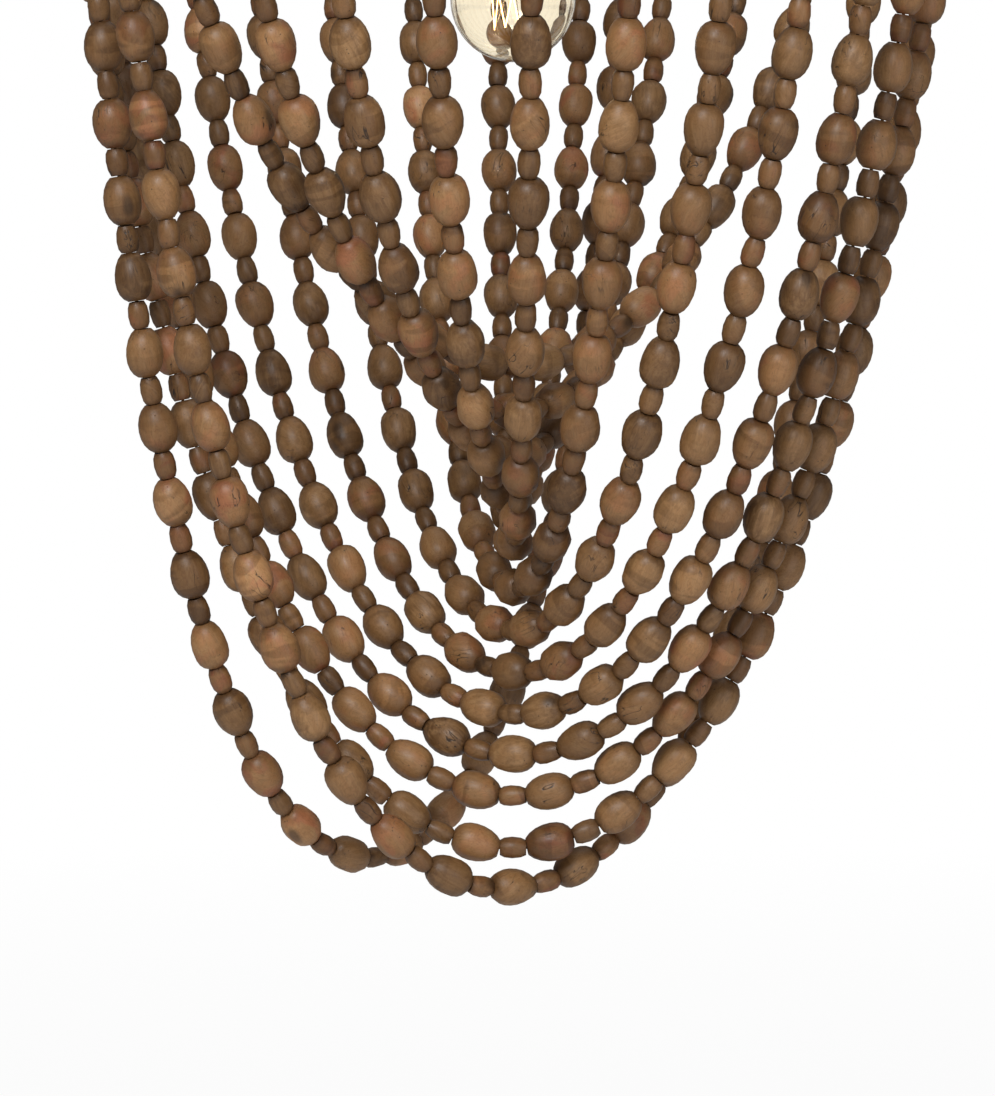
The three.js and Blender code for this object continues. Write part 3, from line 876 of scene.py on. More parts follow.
@dataclass
class Beadwork:
    """Makes the beads of all strands from a few turned patterns."""

    seam: float = 0.45 * MM
    skews: tuple[float, ...] = (-0.14, -0.05, 0.06, 0.13)
    girth_spread: float = 0.025
    oval_spread: float = 0.025
    tilt_degrees: float = 2.2
    log_size: float = 400.0
    grain_tilt_degrees: float = 24
    stain: tuple[float, float] = (0.52, 0.2)
    brightness: tuple[float, float] = (0.56, 0.18)
    least_figure: float = 0.1
    small_shade: float = 0.52
    patterns: dict[bool, list[bpy.types.Mesh]] = field(default_factory=dict)

    def __post_init__(self) -> None:
        """Turns the patterns, for large beads and for small ones."""
        for is_large, form in ((True, LARGE), (False, SMALL)):
            self.patterns[is_large] = [form.mesh(skew) for skew in self.skews]

    def add_bead(
        self, shape: Shape, is_large: bool, start: Vector, end: Vector, pick: random.Random
    ) -> None:
        """Threads one bead between two places.

        Args:
            shape: The strand's beads so far.
            is_large: Whether the bead is a large one.
            start: Where its first end is.
            end: Where its second end is.
            pick: The strand's random numbers.
        """
        form = LARGE if is_large else SMALL
        pattern = pick.choice(self.patterns[is_large])
        bm = shape.bm
        first = len(bm.verts)
        bm.from_mesh(pattern)
        bm.verts.ensure_lookup_table()
        fresh = bm.verts[first:]
        grain_layer = bm.verts.layers.float_vector["bead_grain"]
        tone_layer = bm.verts.layers.float_color["bead_tone"]

        log_place = Vector([pick.uniform(-self.log_size, self.log_size) for _ in range(3)])
        angle = math.radians(pick.gauss(0, self.grain_tilt_degrees))
        tilt = Matrix.Rotation(angle, 3, Vector((1, 0, 0)))
        lean = tilt @ Matrix.Rotation(pick.uniform(0, TURN), 3, UP)
        stain = min(1.0, max(0.0, pick.gauss(*self.stain)))
        bright = min(1.0, max(0.0, pick.gauss(*self.brightness)))
        bright *= 1 if is_large else self.small_shade
        figure = pick.uniform(self.least_figure, 1.0)
        for vert in fresh:
            # How near the bead's end a point is, which sets the painted shade where beads meet.
            nearness = abs(vert.co.z) / (form.length / 2)
            vert[grain_layer] = lean @ (vert.co / MM) + log_place
            vert[tone_layer] = (stain, bright, figure, nearness)

        axis = end - start
        stretch = (axis.length - self.seam) / form.length
        girth = 1 + pick.uniform(-self.girth_spread, self.girth_spread)
        oval = 1 + pick.uniform(-self.oval_spread, self.oval_spread)
        size = Matrix.Diagonal((girth * oval, girth / oval, stretch, 1))
        spin = Matrix.Rotation(pick.uniform(0, TURN), 4, UP)
        side = Vector((pick.uniform(-1, 1), pick.uniform(-1, 1), 0.1))
        sway = math.radians(self.tilt_degrees)
        wobble = Vector([pick.gauss(0, sway) * axis.length for _ in range(3)])
        place = placed((start + end) / 2, axis + wobble, side)
        shape.transform(fresh, place @ spin @ size)


@dataclass
class Strand:
    """One strand: beads on a thread, with an eye at each end on its peg."""

    number: int
    large: int
    large_ends: bool
    middle: Vector
    forward: Vector
    peg_circle: float
    first_seed: int = 900
    tail: float = 11 * MM
    thread_radius: float = 0.8 * MM
    eye_radius: float = 3.5 * MM
    eye_wire: float = 0.7 * MM
    eye_drop: float = 1.0 * MM
    ferrule_radius: float = 1.7 * MM
    ferrule_length: float = 4.5 * MM

    def beads(self) -> list[bool]:
        """Gives the strand's beads in order, True for a large one."""
        count = 2 * self.large + (-1 if self.large_ends else 1)
        return [(i % 2 == 0) == self.large_ends for i in range(count)]

    def build(self, beadwork: Beadwork) -> None:
        """Makes the strand's beads, thread and eyes.

        Args:
            beadwork: The maker of the beads.
        """
        node = f"strand_{self.number:02d}"
        body = node + "_body"
        order = self.beads()
        lengths = [LARGE.length if is_large else SMALL.length for is_large in order]
        total = sum(lengths) + 2 * self.tail
        off_centre = Vector((self.middle.x, self.middle.y)).length
        span = 2 * math.sqrt(self.peg_circle**2 - off_centre**2)
        at = HangingCurve(self.middle, self.forward, span, total).follower()
        pick = random.Random(self.first_seed + self.number)

        shape = Shape()
        distance = self.tail
        for is_large, length in zip(order, lengths):
            beadwork.add_bead(shape, is_large, at(distance), at(distance + length), pick)
            distance += length
        shape.piece(node + "_beads", body, Finish.BEADS, [node], 50)

        side = UP.cross(self.forward)
        first = self.eye_drop + self.eye_radius
        steps = 2 * len(order)
        route = [at(first + (total - 2 * first) * i / steps) for i in range(steps + 1)]
        thread = Shape().swept(circle(self.thread_radius, 6), path_frames(route, side))
        thread.piece(node + "_thread", body, Finish.THREAD)

        eyes = Shape()
        for distance, inward in ((0.0, 1), (total, -1)):
            peg = at(distance)
            tangent = (at(distance + inward * 2 * MM) - peg).normalized()
            self.add_eye(eyes, peg + tangent * self.eye_drop, tangent, side)
        eyes.piece(node + "_eyes", body, Finish.BRASS)

    def add_eye(self, eyes: Shape, centre: Vector, tangent: Vector, side: Vector) -> None:
        """Adds a wire eye that hangs on a peg, and the ferrule that closes it.

        Args:
            eyes: The strand's eyes so far.
            centre: The eye's middle.
            tangent: The thread's direction, away from the peg.
            side: The direction across the strand's plane.
        """
        ring = arc(centre, tangent * self.eye_radius, side * self.eye_radius, 0, TURN, 20)[:-1]
        eyes.swept(circle(self.eye_wire, 8), path_frames(ring, tangent.cross(side), True), True)
        top = centre + tangent * (self.eye_radius + self.eye_wire / 2)
        radius, length = self.ferrule_radius, self.ferrule_length
        rim = radius * 0.25
        outline = [(0.0, 0.0), (radius - rim, 0.0), (radius, rim)]
        outline += fitted([(0.86, 0.35), (0.86, 0.65)], radius, 0.0, length)
        outline += [(radius, length - rim), (radius - rim, length), (0.0, length)]
        eyes.turned(outline, 12, placed(top, tangent, side))


@dataclass
class BeadNest:
    """All strands, which spiral downwards round the ring."""

    spiral_strands: int = 11
    fewest_large: int = 16
    longer_strands: tuple[tuple[int, bool], ...] = ((28, True), (29, True), (28, True))

    def build(self, hoop: "Hoop") -> None:
        """Makes the strands where their joints say.

        Args:
            hoop: The hoop that they hang on.
        """
        joints = {joint["name"]: joint for joint in frame["joints"]}
        beadwork = Beadwork()
        spiral = [(self.fewest_large + i, False) for i in range(self.spiral_strands)]
        for number, (large, large_ends) in enumerate([*spiral, *self.longer_strands], 1):
            joint = joints[f"strand_{number:02d}_swing"]
            middle, forward = Vector(joint["pos_m"]), Vector(joint["axis"]).normalized()
            strand = Strand(number, large, large_ends, middle, forward, hoop.seat_circle())
            strand.build(beadwork)


# ---- Hoop, arms and hub ----


@dataclass
class Hoop:
    """The flat steel hoop and its pegs."""

    radius: float = 195 * MM
    thickness: float = 3 * MM
    above_pegs: float = 16 * MM
    below_pegs: float = 4 * MM
    edge: float = 0.8 * MM
    peg_length: float = 14 * MM
    peg_radius: float = 1.3 * MM
    peg_sunk: float = 0.3 * MM
    head_radius: float = 2.3 * MM
    head_length: float = 2.4 * MM
    seat_share: float = 0.54
    pegs_round: int = 28
    first_peg_degrees: float = -49
    empty_place: int = 12
    extra_place: float = 16.5
    weld_place: float = 17.4
    weld_radius: float = 1.0 * MM
    weld_ripples: int = 18
    steps: int = 160

    def seat_circle(self) -> float:
        """Gives the radius of the circle on which the eyes hang."""
        return self.radius + self.peg_length * self.seat_share

    def level(self) -> float:
        """Gives the height of the pegs."""
        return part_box("main_ring")[0].z + self.below_pegs

    def direction(self, peg: float) -> Vector:
        """Gives the outward direction of a peg, counted round from the first one."""
        angle = math.radians(self.first_peg_degrees + 360 / self.pegs_round * peg)
        return Vector((math.sin(angle), -math.cos(angle), 0))

    def build(self) -> None:
        """Makes the hoop, its pegs and its weld."""
        low = self.level() - self.below_pegs
        high = self.level() + self.above_pegs
        outer, inner, edge = self.radius, self.radius - self.thickness, self.edge
        soft = edge * 0.3
        corners = [(outer, low, -1, 1), (outer, high, -1, -1)]
        corners += [(inner, high, 1, -1), (inner, low, 1, 1)]
        outline: Outline = []
        for i, (r, z, in_r, in_z) in enumerate(corners):
            cut = [(r + in_r * edge, z), (r + in_r * soft, z + in_z * soft), (r, z + in_z * edge)]
            outline += cut[::-1] if i % 2 else cut
        band = Shape().turned(outline, self.steps)
        band.piece("hoop_band", "frame", Finish.BRONZE, ["main_ring"])
        pegs = Shape()
        places = [i for i in range(self.pegs_round) if i != self.empty_place]
        for place in [*places, self.extra_place]:
            self.add_peg(pegs, place)
        pegs.piece("hoop_pegs", "frame", Finish.BRONZE)
        self.build_weld(low + edge, high - edge)

    def add_peg(self, pegs: Shape, place: float) -> None:
        """Adds one peg with its welded foot and domed head.

        Args:
            pegs: The pegs so far.
            place: Its place, counted in pegs.
        """
        outward = self.direction(place)
        foot = outward * (self.radius - self.peg_sunk) + UP * self.level()
        length = self.peg_length + self.peg_sunk
        neck = length - self.head_length
        fillet = [(0, 0), (1.9, 0), (1.75, 0.5), (1.25, 1.1), (1, 1.9)]
        outline = fitted(fillet, self.peg_radius, 0.0, MM)
        outline += fitted([(1, -0.5), (1.15, -0.1)], self.peg_radius, neck, MM)
        dome = [(0.92, 0), (1, 0.25), (0.9, 0.6), (0.6, 0.9), (0, 1)]
        outline += fitted(dome, self.head_radius, neck, self.head_length)
        pegs.turned(outline, 12, placed(foot, outward, UP))

    def build_weld(self, low: float, high: float) -> None:
        """Makes the low weld bead where the hoop's two ends meet, at the back between two pegs.

        Args:
            low: The height where it starts.
            high: The height where it ends.
        """
        outward = self.direction(self.weld_place)
        weld = Shape()
        ripples = self.weld_ripples
        for side in (1, -1):
            centre = outward * (self.radius - self.thickness / 2 + side * self.thickness / 2)
            path = []
            for i in range(ripples + 1):
                size = 0.72 if i % 2 else 0.62
                size *= 0.4 if i in (0, ripples) else 1
                point = centre + UP * (low + (high - low) * i / ripples)
                path.append(placed(point, UP, UP.cross(outward), size))
            weld.swept(circle(self.weld_radius, 8), path)
        weld.piece("hoop_weld", "frame", Finish.BRONZE)


@dataclass
class Arms:
    """Four flat bars bent down from the hub to the hoop, each with its screw."""

    count: int = 4
    first_place: float = 7.5
    thickness: float = 5 * MM
    width: float = 8 * MM
    corner: float = 1.1 * MM
    toe_share: float = 0.78
    inner_radius: float = 10 * MM
    bend_radius: float = 70 * MM
    foot_height: float = 22 * MM
    screw_height: float = 9 * MM
    screw_radius: float = 1.6 * MM
    head_radius: float = 3.6 * MM
    head_height: float = 2.2 * MM
    slot_width: float = 1 * MM
    first_slot_degrees: float = 25
    next_slot_degrees: float = 40
    gap: float = 0.3 * MM
    bend_steps: int = 36
    dome_steps: int = 6

    def build(self, hoop: Hoop) -> None:
        """Makes the arms and screws.

        Args:
            hoop: The hoop that they hold.
        """
        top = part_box("arm_1")[1].z - self.thickness / 2
        foot_radius = hoop.radius - hoop.thickness - 2 * self.gap - self.thickness / 2
        foot_top = hoop.level() - hoop.below_pegs + self.foot_height
        section = rounded_bar(self.width, self.thickness, self.corner)
        for i in range(self.count):
            outward = hoop.direction(self.first_place + hoop.pegs_round / self.count * i)
            corner = outward * self.bend_radius + UP * foot_top
            reach = outward * (foot_radius - self.bend_radius)
            route = [outward * self.inner_radius + UP * top]
            route += arc(corner, reach, UP * (top - foot_top), TURN / 4, 0, self.bend_steps)
            for height in (hoop.level() + self.corner, hoop.level()):
                route.append(outward * foot_radius + UP * height)
            frames = path_frames(route, UP.cross(outward))
            frames[-1] = frames[-1] @ Matrix.Scale(self.toe_share, 4)
            name = f"arm_{i + 1}"
            Shape().swept(section, frames).piece(name + "_bar", "frame", Finish.BRONZE, [name])
            self.build_screw(i, outward, hoop)

    def build_screw(self, number: int, outward: Vector, hoop: Hoop) -> None:
        """Makes one screw with a slotted domed head.

        Args:
            number: Which arm it is on.
            outward: The arm's direction.
            hoop: The hoop that it goes through.
        """
        level = UP * (hoop.level() + self.screw_height)
        seat = outward * (hoop.radius + self.gap * 0.2) + level
        head, rise = self.head_radius, self.head_height
        tip = -(hoop.thickness + self.thickness + 2 * self.gap)
        shank = self.screw_radius
        outline = [(0.0, tip), (shank, tip), (shank, 0.0), (head * 0.96, 0.0), (head, rise * 0.15)]
        for i in range(1, self.dome_steps):
            angle = TURN / 4 * i / self.dome_steps
            outline.append((head * math.cos(angle), rise * (0.15 + 0.85 * math.sin(angle))))
        outline.append((0.0, rise))
        screw = Shape().turned(outline, 28, placed(seat, outward, UP))
        slot = Shape().block(
            Vector((-head * 1.2, -self.slot_width / 2, rise * 0.45)),
            Vector((head * 1.2, self.slot_width / 2, rise * 1.6)),
        )
        turn = math.radians(self.first_slot_degrees + self.next_slot_degrees * number)
        slot.transform(slot.bm.verts, placed(seat, outward, UP) @ Matrix.Rotation(turn, 4, "Z"))
        screw.cut_by([slot], "arm_screw_slot")
        name = f"arm_screw_{number + 1}"
        screw.piece(name + "_head", "frame", Finish.BRASS, [name], 30)


@dataclass
class Hub:
    """Plates, nut and stem that clamp the arms, and the turned column above them."""

    steps: int = 64
    stem_radius: float = 5 * MM
    bore: float = 2.5 * MM
    gap: float = 0.3 * MM
    thread_pitch: float = 1.0 * MM
    thread_depth: float = 0.55 * MM

    def build(self) -> None:
        """Makes the hub's pieces."""
        self.build_plate("hub_upper_plate", 1)
        self.build_plate("hub_lower_plate", -1)
        self.build_nut("hub_nut", "frame", Finish.BRASS)
        self.build_rod("stem", "frame", Finish.STEEL)
        self.build_column()

    def build_plate(self, node: str, way: int) -> None:
        """Makes one dished plate with a stepped edge.

        Args:
            node: The plate's node.
            way: 1 where its face is on top, -1 where it is below.
        """
        low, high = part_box(node)
        back, front = (low.z, high.z) if way > 0 else (high.z, low.z)
        hole = self.stem_radius + self.gap
        edge = [(0.97, 0), (1, 0.12), (1, 0.4), (0.985, 0.5), (0.94, 0.55), (0.92, 0.62)]
        edge += [(0.84, 0.8), (0.66, 0.95), (0.5, 1)]
        outline = [(hole, back), *fitted(edge, high.x, back, front - back), (hole, front)]
        Shape().turned(outline, self.steps).piece(node + "_disc", "frame", Finish.BRONZE, [node])

    def build_nut(self, node: str, body: str, finish: Finish) -> None:
        """Makes a six-sided nut with turned-off corners.

        Args:
            node: The nut's node.
            body: The body that it rides on.
            finish: What it is made of.
        """
        low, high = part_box(node)
        radius, hole = high.y, self.stem_radius + self.gap
        hexagon = Shape().turned(
            [(hole, low.z), (radius, low.z), (radius, high.z), (hole, high.z)], 6
        )
        cut = radius * 0.13 * 1.4
        face, far = radius - cut, radius * 1.3
        for base, way in ((low.z, 1), (high.z, -1)):
            slant = base + way * (far - radius + cut) * 0.55
            rim = [(face, base - way * MM), (face, base), (far, slant), (far, base - way * MM)]
            hexagon.cut_by([Shape().turned(rim, self.steps)], node + "_corners")
        hexagon.piece(node + "_hex", body, finish, [node], 20)

    def build_rod(self, node: str, body: str, finish: Finish) -> None:
        """Makes a bored rod with a thread cut along it.

        Args:
            node: The rod's node.
            body: The body that it rides on.
            finish: What it is made of.
        """
        low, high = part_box(node)
        crest, root = high.y, high.y - self.thread_depth
        pitches = round((high.z - low.z) / self.thread_pitch)
        step = (high.z - low.z) / pitches
        outline = [(self.bore, low.z), (root, low.z)]
        for i in range(pitches):
            outline += [(crest, low.z + step * (i + 0.5)), (root, low.z + step * (i + 1))]
        outline.append((self.bore, high.z))
        Shape().turned(outline, 24).piece(node + "_rod", body, finish, [node], 80)

    def build_column(self) -> None:
        """Makes the turned column, with its beads, cove and fillets."""
        low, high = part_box("stem_column")
        foot = [(0.74, 0.0), (0.8, 0.004), (0.97, 0.03), (1.0, 0.055), (1.0, 0.075), (0.96, 0.1)]
        cove = [(0.84, 0.118), (0.78, 0.122), (0.77, 0.14), (0.68, 0.175), (0.61, 0.22)]
        cove += [(0.6, 0.27), (0.62, 0.33), (0.67, 0.4)]
        bead = [(0.67, 0.412), (0.74, 0.42), (0.76, 0.437), (0.74, 0.455), (0.7, 0.462)]
        swell = [(0.76, 0.5), (0.85, 0.56), (0.9, 0.62), (0.91, 0.67), (0.87, 0.73)]
        swell += [(0.78, 0.79), (0.66, 0.835), (0.6, 0.86)]
        cap = [(0.6, 0.872), (0.68, 0.88), (0.74, 0.9), (0.75, 0.93), (0.72, 0.955)]
        cap += [(0.66, 0.965), (0.66, 0.995), (0.63, 1.0)]
        shares = foot + cove + bead + swell + cap
        outline = fitted(shares, high.y, low.z, high.z - low.z)
        hole = self.stem_radius + self.gap
        turning = Shape().turned([*outline, (hole, high.z), (hole, low.z)], self.steps)
        turning.piece("column_turning", "frame", Finish.COLUMN, ["stem_column"])


# ---- Chain and ceiling set ----


@dataclass
class Suspension:
    """Loops, chain links, canopy and crossbar."""

    loop_wire: float = 2.5 * MM
    loop_radius: float = 10 * MM
    link_wire: float = 1.9 * MM
    nipple_radius: float = 5 * MM
    gap: float = 0.3 * MM
    bar_edge: float = 0.5 * MM
    bar_hole: float = 5.3 * MM
    slot_place: float = 35 * MM
    slot_half: float = 4.5 * MM
    slot_radius: float = 2.5 * MM
    canopy_wall: float = 1.5 * MM
    canopy_hole: float = 13.1 * MM
    ridges: int = 48
    ridge_radius: float = 0.8 * MM
    steps: int = 96

    def build(self) -> None:
        """Makes all pieces from the top loop up to the crossbar."""
        self.build_loop("ceiling_loop", "ceiling_set", -1, 0.58)
        self.build_loop("top_loop", "frame", 1, 0.5)
        for i in range(3):
            self.build_link(i)
        self.build_crossbar()
        hub = Hub()
        hub.build_nut("nipple_locknut", "ceiling_set", Finish.STEEL)
        hub.build_rod("nipple", "ceiling_set", Finish.BRASS)
        self.build_canopy()
        self.build_collar()

    def build_loop(self, node: str, body: str, way: int, depth: float) -> None:
        """Makes a loop of thick wire on a turned, bored neck.

        Args:
            node: The loop's node.
            body: The body that it rides on.
            way: 1 where the loop stands on its neck, -1 where it hangs from it.
            depth: How deep the neck is bored, as a share of its length.
        """
        low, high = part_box(node)
        back, end = (low.z, high.z) if way > 0 else (high.z, low.z)
        radius, bore = self.loop_radius, self.nipple_radius + self.gap
        centre = Vector((0, 0, end - way * (radius + self.loop_wire)))
        ring = arc(centre, Vector((radius, 0, 0)), UP * radius, 0, TURN, 48)[:-1]
        frames = path_frames(ring, Vector((0, 1, 0)), True)
        shape = Shape().swept(circle(self.loop_wire, 16), frames, True)
        length = abs(centre.z - way * (radius - self.loop_wire / 2) - back)
        floor = back + way * length * depth
        neck = [(0.94, 0), (1, 0.03), (1, 0.72), (0.97, 0.76), (0.86, 0.8), (0.8, 0.86)]
        neck += [(0.62, 0.95), (0.42, 1), (0, 1)]
        outline = [(0.0, floor), (bore, floor), (bore, back)]
        shape.turned(outline + fitted(neck, high.y, back, way * length), 48)
        shape.piece(node + "_cast", body, Finish.BRASS, [node])

    def build_link(self, number: int) -> None:
        """Makes one oval link with its weld.

        Args:
            number: Which link it is, from the top.
        """
        node = f"chain_link_{number + 1}"
        low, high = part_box(node)
        across = Vector((1, 0, 0)) if number % 2 else Vector((0, 1, 0))
        width = max(high.x, high.y) - self.link_wire
        straight = (high.z - low.z) / 2 - self.link_wire - width
        centre = Vector((0, 0, (low.z + high.z) / 2))
        side = across * width
        points = arc(centre + UP * straight, side, UP * width, 0, TURN / 2, 18)
        points += [centre - side + UP * straight * share for share in (0.5, 0, -0.5)]
        points += arc(centre - UP * straight, -side, -UP * width, 0, TURN / 2, 18)
        rising = (-0.5, -0.14, -0.1, -0.04, 0.04, 0.1, 0.14, 0.5)
        points += [centre + side + UP * straight * share for share in rising]
        frames = path_frames(points, UP.cross(across), True)
        for place, size in {-5: 1.05, -4: 1.11, -3: 1.05}.items():
            frames[place] = frames[place] @ Matrix.Scale(size, 4)
        shape = Shape().swept(circle(self.link_wire, 14), frames, True)
        shape.piece(node + "_wire", f"link_{number + 1}", Finish.BRASS, [node])

    def build_crossbar(self) -> None:
        """Makes the stamped crossbar with its two slots and centre hole."""
        low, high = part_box("crossbar")
        under = low.z - MM
        bar = Shape().block(low, high, self.bar_edge)

        def drill(radius: float) -> Outline:
            """Gives the outline of a round tool that goes through the bar."""
            return [(0.0, under), (radius, under), (radius, MM), (0.0, MM)]

        tools = [Shape().turned(drill(self.bar_hole), 32)]
        half, radius = self.slot_half, self.slot_radius
        for way in (1, -1):
            slot = Shape()
            for end in (-half, half):
                matrix = Matrix.Translation((way * self.slot_place + end, 0, 0))
                slot.turned(drill(radius), 24, matrix)
            middle, reach = Vector((way * self.slot_place, 0, 0)), Vector((half, radius, 0))
            tools += [slot, Shape().block(middle - reach + UP * under, middle + reach + UP * MM)]
        bar.cut_by(tools, "crossbar_holes")
        bar.piece("crossbar_strip", "ceiling_set", Finish.STEEL, ["crossbar"], 25)

    def build_canopy(self) -> None:
        """Makes the spun canopy: a shell with a rolled rim and two steps."""
        low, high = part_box("canopy")
        wall, hole = self.canopy_wall, self.canopy_hole
        shares = [(1, 0), (1, 0.2), (0.995, 0.26), (0.975, 0.3), (0.955, 0.31), (0.95, 0.34)]
        shares += [(0.93, 0.42), (0.88, 0.52), (0.8, 0.63), (0.7, 0.73), (0.6, 0.8)]
        shares += [(0.52, 0.845), (0.51, 0.86), (0.5, 0.93), (0.485, 0.98), (0.46, 1)]
        outer = fitted(shares, high.x, high.z, low.z - high.z)
        inner = [(r - wall, z + wall * min(1, (high.z - z) / wall)) for r, z in outer]
        outline = [*outer, (hole, low.z), (hole, low.z + wall), *inner[::-1]]
        shape = Shape().turned(outline, self.steps)
        shape.piece("canopy_spun", "canopy_set", Finish.BRONZE, ["canopy"])

    def build_collar(self) -> None:
        """Makes the knurled collar that holds the canopy up."""
        low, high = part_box("canopy_collar")
        radius, hole, height = high.y, self.canopy_hole, high.z - low.z
        shares = [(0.93, 0), (0.96, 0.05), (0.96, 0.95), (0.93, 1)]
        outline = [(hole, low.z), *fitted(shares, radius, low.z, height), (hole, high.z)]
        collar = Shape().turned(outline, self.steps)
        for i in range(self.ridges):
            angle = TURN * i / self.ridges
            outward = Vector((math.cos(angle), math.sin(angle), 0))
            reach = outward * radius * 0.955
            path = [
                placed(reach + UP * (low.z + height * share), UP, outward, size)
                for share, size in ((0.14, 0.2), (0.22, 1), (0.78, 1), (0.86, 0.2))
            ]
            collar.swept(circle(self.ridge_radius, 6), path)
        collar.piece("canopy_collar_knurled", "canopy_set", Finish.BRASS, ["canopy_collar"])


# ---- Lamp ----


@dataclass
class Lamp:
    """Lamp holder, cap, glass bulb and what is inside it."""

    steps: int = 64
    holder_bore: float = 14.7 * MM
    holder_depth: float = 32 * MM
    holder_floor: float = 4 * MM
    stem_hole: float = 5.3 * MM
    wire_hole: float = 1.25 * MM
    shell_wall: float = 0.5 * MM
    shell_depth: float = 0.15 * MM
    wall: float = 0.8 * MM
    thread_turns: int = 5
    thread_depth: float = 0.7 * MM
    glass_wall: float = 0.9 * MM
    neck_radius: float = 12.1 * MM
    neck_gap: float = 0.3 * MM
    shoulder_degrees: float = 34
    ball_steps: int = 22
    neck_steps: int = 14
    filament_wires: int = 8
    filament_radius: float = 0.28 * MM
    filament_steps: int = 60
    lead_radius: float = 0.35 * MM

    def build(self) -> None:
        """Makes the holder and the lamp."""
        self.build_holder()
        self.build_shell()
        self.build_cap()
        self.build_glass()
        self.build_inside()

    def build_holder(self) -> None:
        """Makes the bored porcelain body with a groove round its middle."""
        low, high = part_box("lamp_holder")
        seat = low.z + self.holder_depth
        floor = seat + self.holder_floor
        shares = [(0.84, 0), (0.9, 0.012), (0.93, 0.05), (0.965, 0.12), (1, 0.18), (1, 0.46)]
        shares += [(0.985, 0.475), (0.94, 0.485), (0.94, 0.53), (0.985, 0.54), (1, 0.555), (1, 0.8)]
        shares += [(0.985, 0.85), (0.93, 0.91), (0.84, 0.96), (0.72, 0.99), (0.66, 1)]
        outline = fitted(shares, high.y, low.z, high.z - low.z)
        outline += [(self.stem_hole, high.z), (self.stem_hole, floor), (self.wire_hole, floor)]
        outline += [(self.wire_hole, seat), (self.holder_bore, seat), (self.holder_bore, low.z)]
        holder = Shape().turned(outline, self.steps)
        holder.piece("holder_body", "frame", Finish.PORCELAIN, ["lamp_holder"])

    def rolled(self, base: float, depth: float, start: float, end: float) -> Outline:
        """Gives the outline of a rolled thread.

        Args:
            base: Its radius between the waves.
            depth: How far the waves stand out, or in where it is below 0.
            start: The height where it starts.
            end: The height where it ends.

        Returns:
            Radius and height along the thread.
        """
        count = self.thread_turns * 8
        points: Outline = []
        for i in range(count + 1):
            share = i / count
            wave = depth * (1 - math.cos(TURN * self.thread_turns * share)) / 2
            points.append((base + wave, start + (end - start) * share))
        return points

    def build_shell(self) -> None:
        """Makes the brass screw shell with its rolled thread, and the contact."""
        low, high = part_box("screw_shell")
        radius, inside = high.y, high.y - self.shell_wall
        outline = [(radius, low.z), (radius, high.z), (inside, high.z)]
        outline += self.rolled(inside, -self.shell_depth, high.z, low.z)
        shell = Shape().turned(outline, self.steps)
        shell.piece("holder_shell", "frame", Finish.BRASS, ["screw_shell"])
        low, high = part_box("centre_contact")
        tongue = fitted([(0, 0), (0.5, 0.1), (1, 1), (0, 1)], high.y, low.z, high.z - low.z)
        contact = Shape().turned(tongue, 24)
        contact.piece("holder_contact", "frame", Finish.BRASS, ["centre_contact"])

    def build_cap(self) -> None:
        """Makes the lamp's cap: rolled thread, black insulator and solder tip."""
        low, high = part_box("bulb_cap")
        radius, height = high.y, high.z - low.z
        inside = radius - self.wall - self.thread_depth
        cut = low.z + height * 0.6
        cone_low, cone_high = low.z + height * 0.71, low.z + height * 0.905
        slope = cone_high - cone_low
        profile = [(0.0, cut), (inside, cut), (inside, low.z)]
        profile += [(radius * 0.985, low.z), (radius, low.z + 0.6 * MM)]
        start = low.z + height * 0.1
        profile += self.rolled(radius - self.thread_depth, self.thread_depth, start, cone_low)
        profile += fitted([(0.72, 0.45), (0, 0.45)], radius, cone_low, slope)
        Shape().turned(profile, self.steps).piece("lamp_cap", "lamp", Finish.NICKEL, ["bulb_cap"])
        base = cone_low + slope * 0.46
        shares = [(0, 0), (0.7, 0), (0.6, 0.5), (0.42, 1), (0, 1)]
        cone = fitted(shares, radius, base, cone_high - base)
        Shape().turned(cone, 48).piece("lamp_insulator", "lamp", Finish.INSULATOR)
        seat = cone_high + 0.01 * MM
        tip = [(0.0, seat), (radius * 0.36, seat)]
        shares = [(0.37, 0.3), (0.3, 0.75), (0.16, 0.95), (0, 1)]
        tip += fitted(shares, radius, cone_high, high.z - cone_high)
        Shape().turned(tip, 32).piece("lamp_solder_tip", "lamp", Finish.SOLDER)

    def glass_outline(self, wall: float) -> Outline:
        """Gives the bulb's outline, or its hollow's where the wall is taken off.

        Args:
            wall: How much is taken off.

        Returns:
            Radius and height from the lowest point to the neck's end.
        """
        low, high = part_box("bulb_glass")
        radius = high.x - wall
        centre = low.z + high.x
        neck = self.neck_radius - wall
        shoulder = math.radians(self.shoulder_degrees)
        points: Outline = []
        for i in range(self.ball_steps + 1):
            angle = -TURN / 4 + (TURN / 4 + shoulder) * i / self.ball_steps
            across = radius * math.cos(angle) if i else 0.0
            points.append((across, centre + radius * math.sin(angle)))
        start_r, start_z = points[-1]
        end_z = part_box("bulb_cap")[0].z - self.neck_gap
        rise = end_z - start_z
        near_r, near_z = start_r - rise * 0.36 * math.tan(shoulder), start_z + rise * 0.36
        far_z = start_z + rise * 0.62
        for i in range(1, self.neck_steps + 1):
            t = i / self.neck_steps
            a, b, c, d = (1 - t) ** 3, 3 * t * (1 - t) ** 2, 3 * t * t * (1 - t), t**3
            r = a * start_r + b * near_r + c * neck + d * neck
            points.append((r, a * start_z + b * near_z + c * far_z + d * end_z))
        points.append((neck, high.z))
        return points

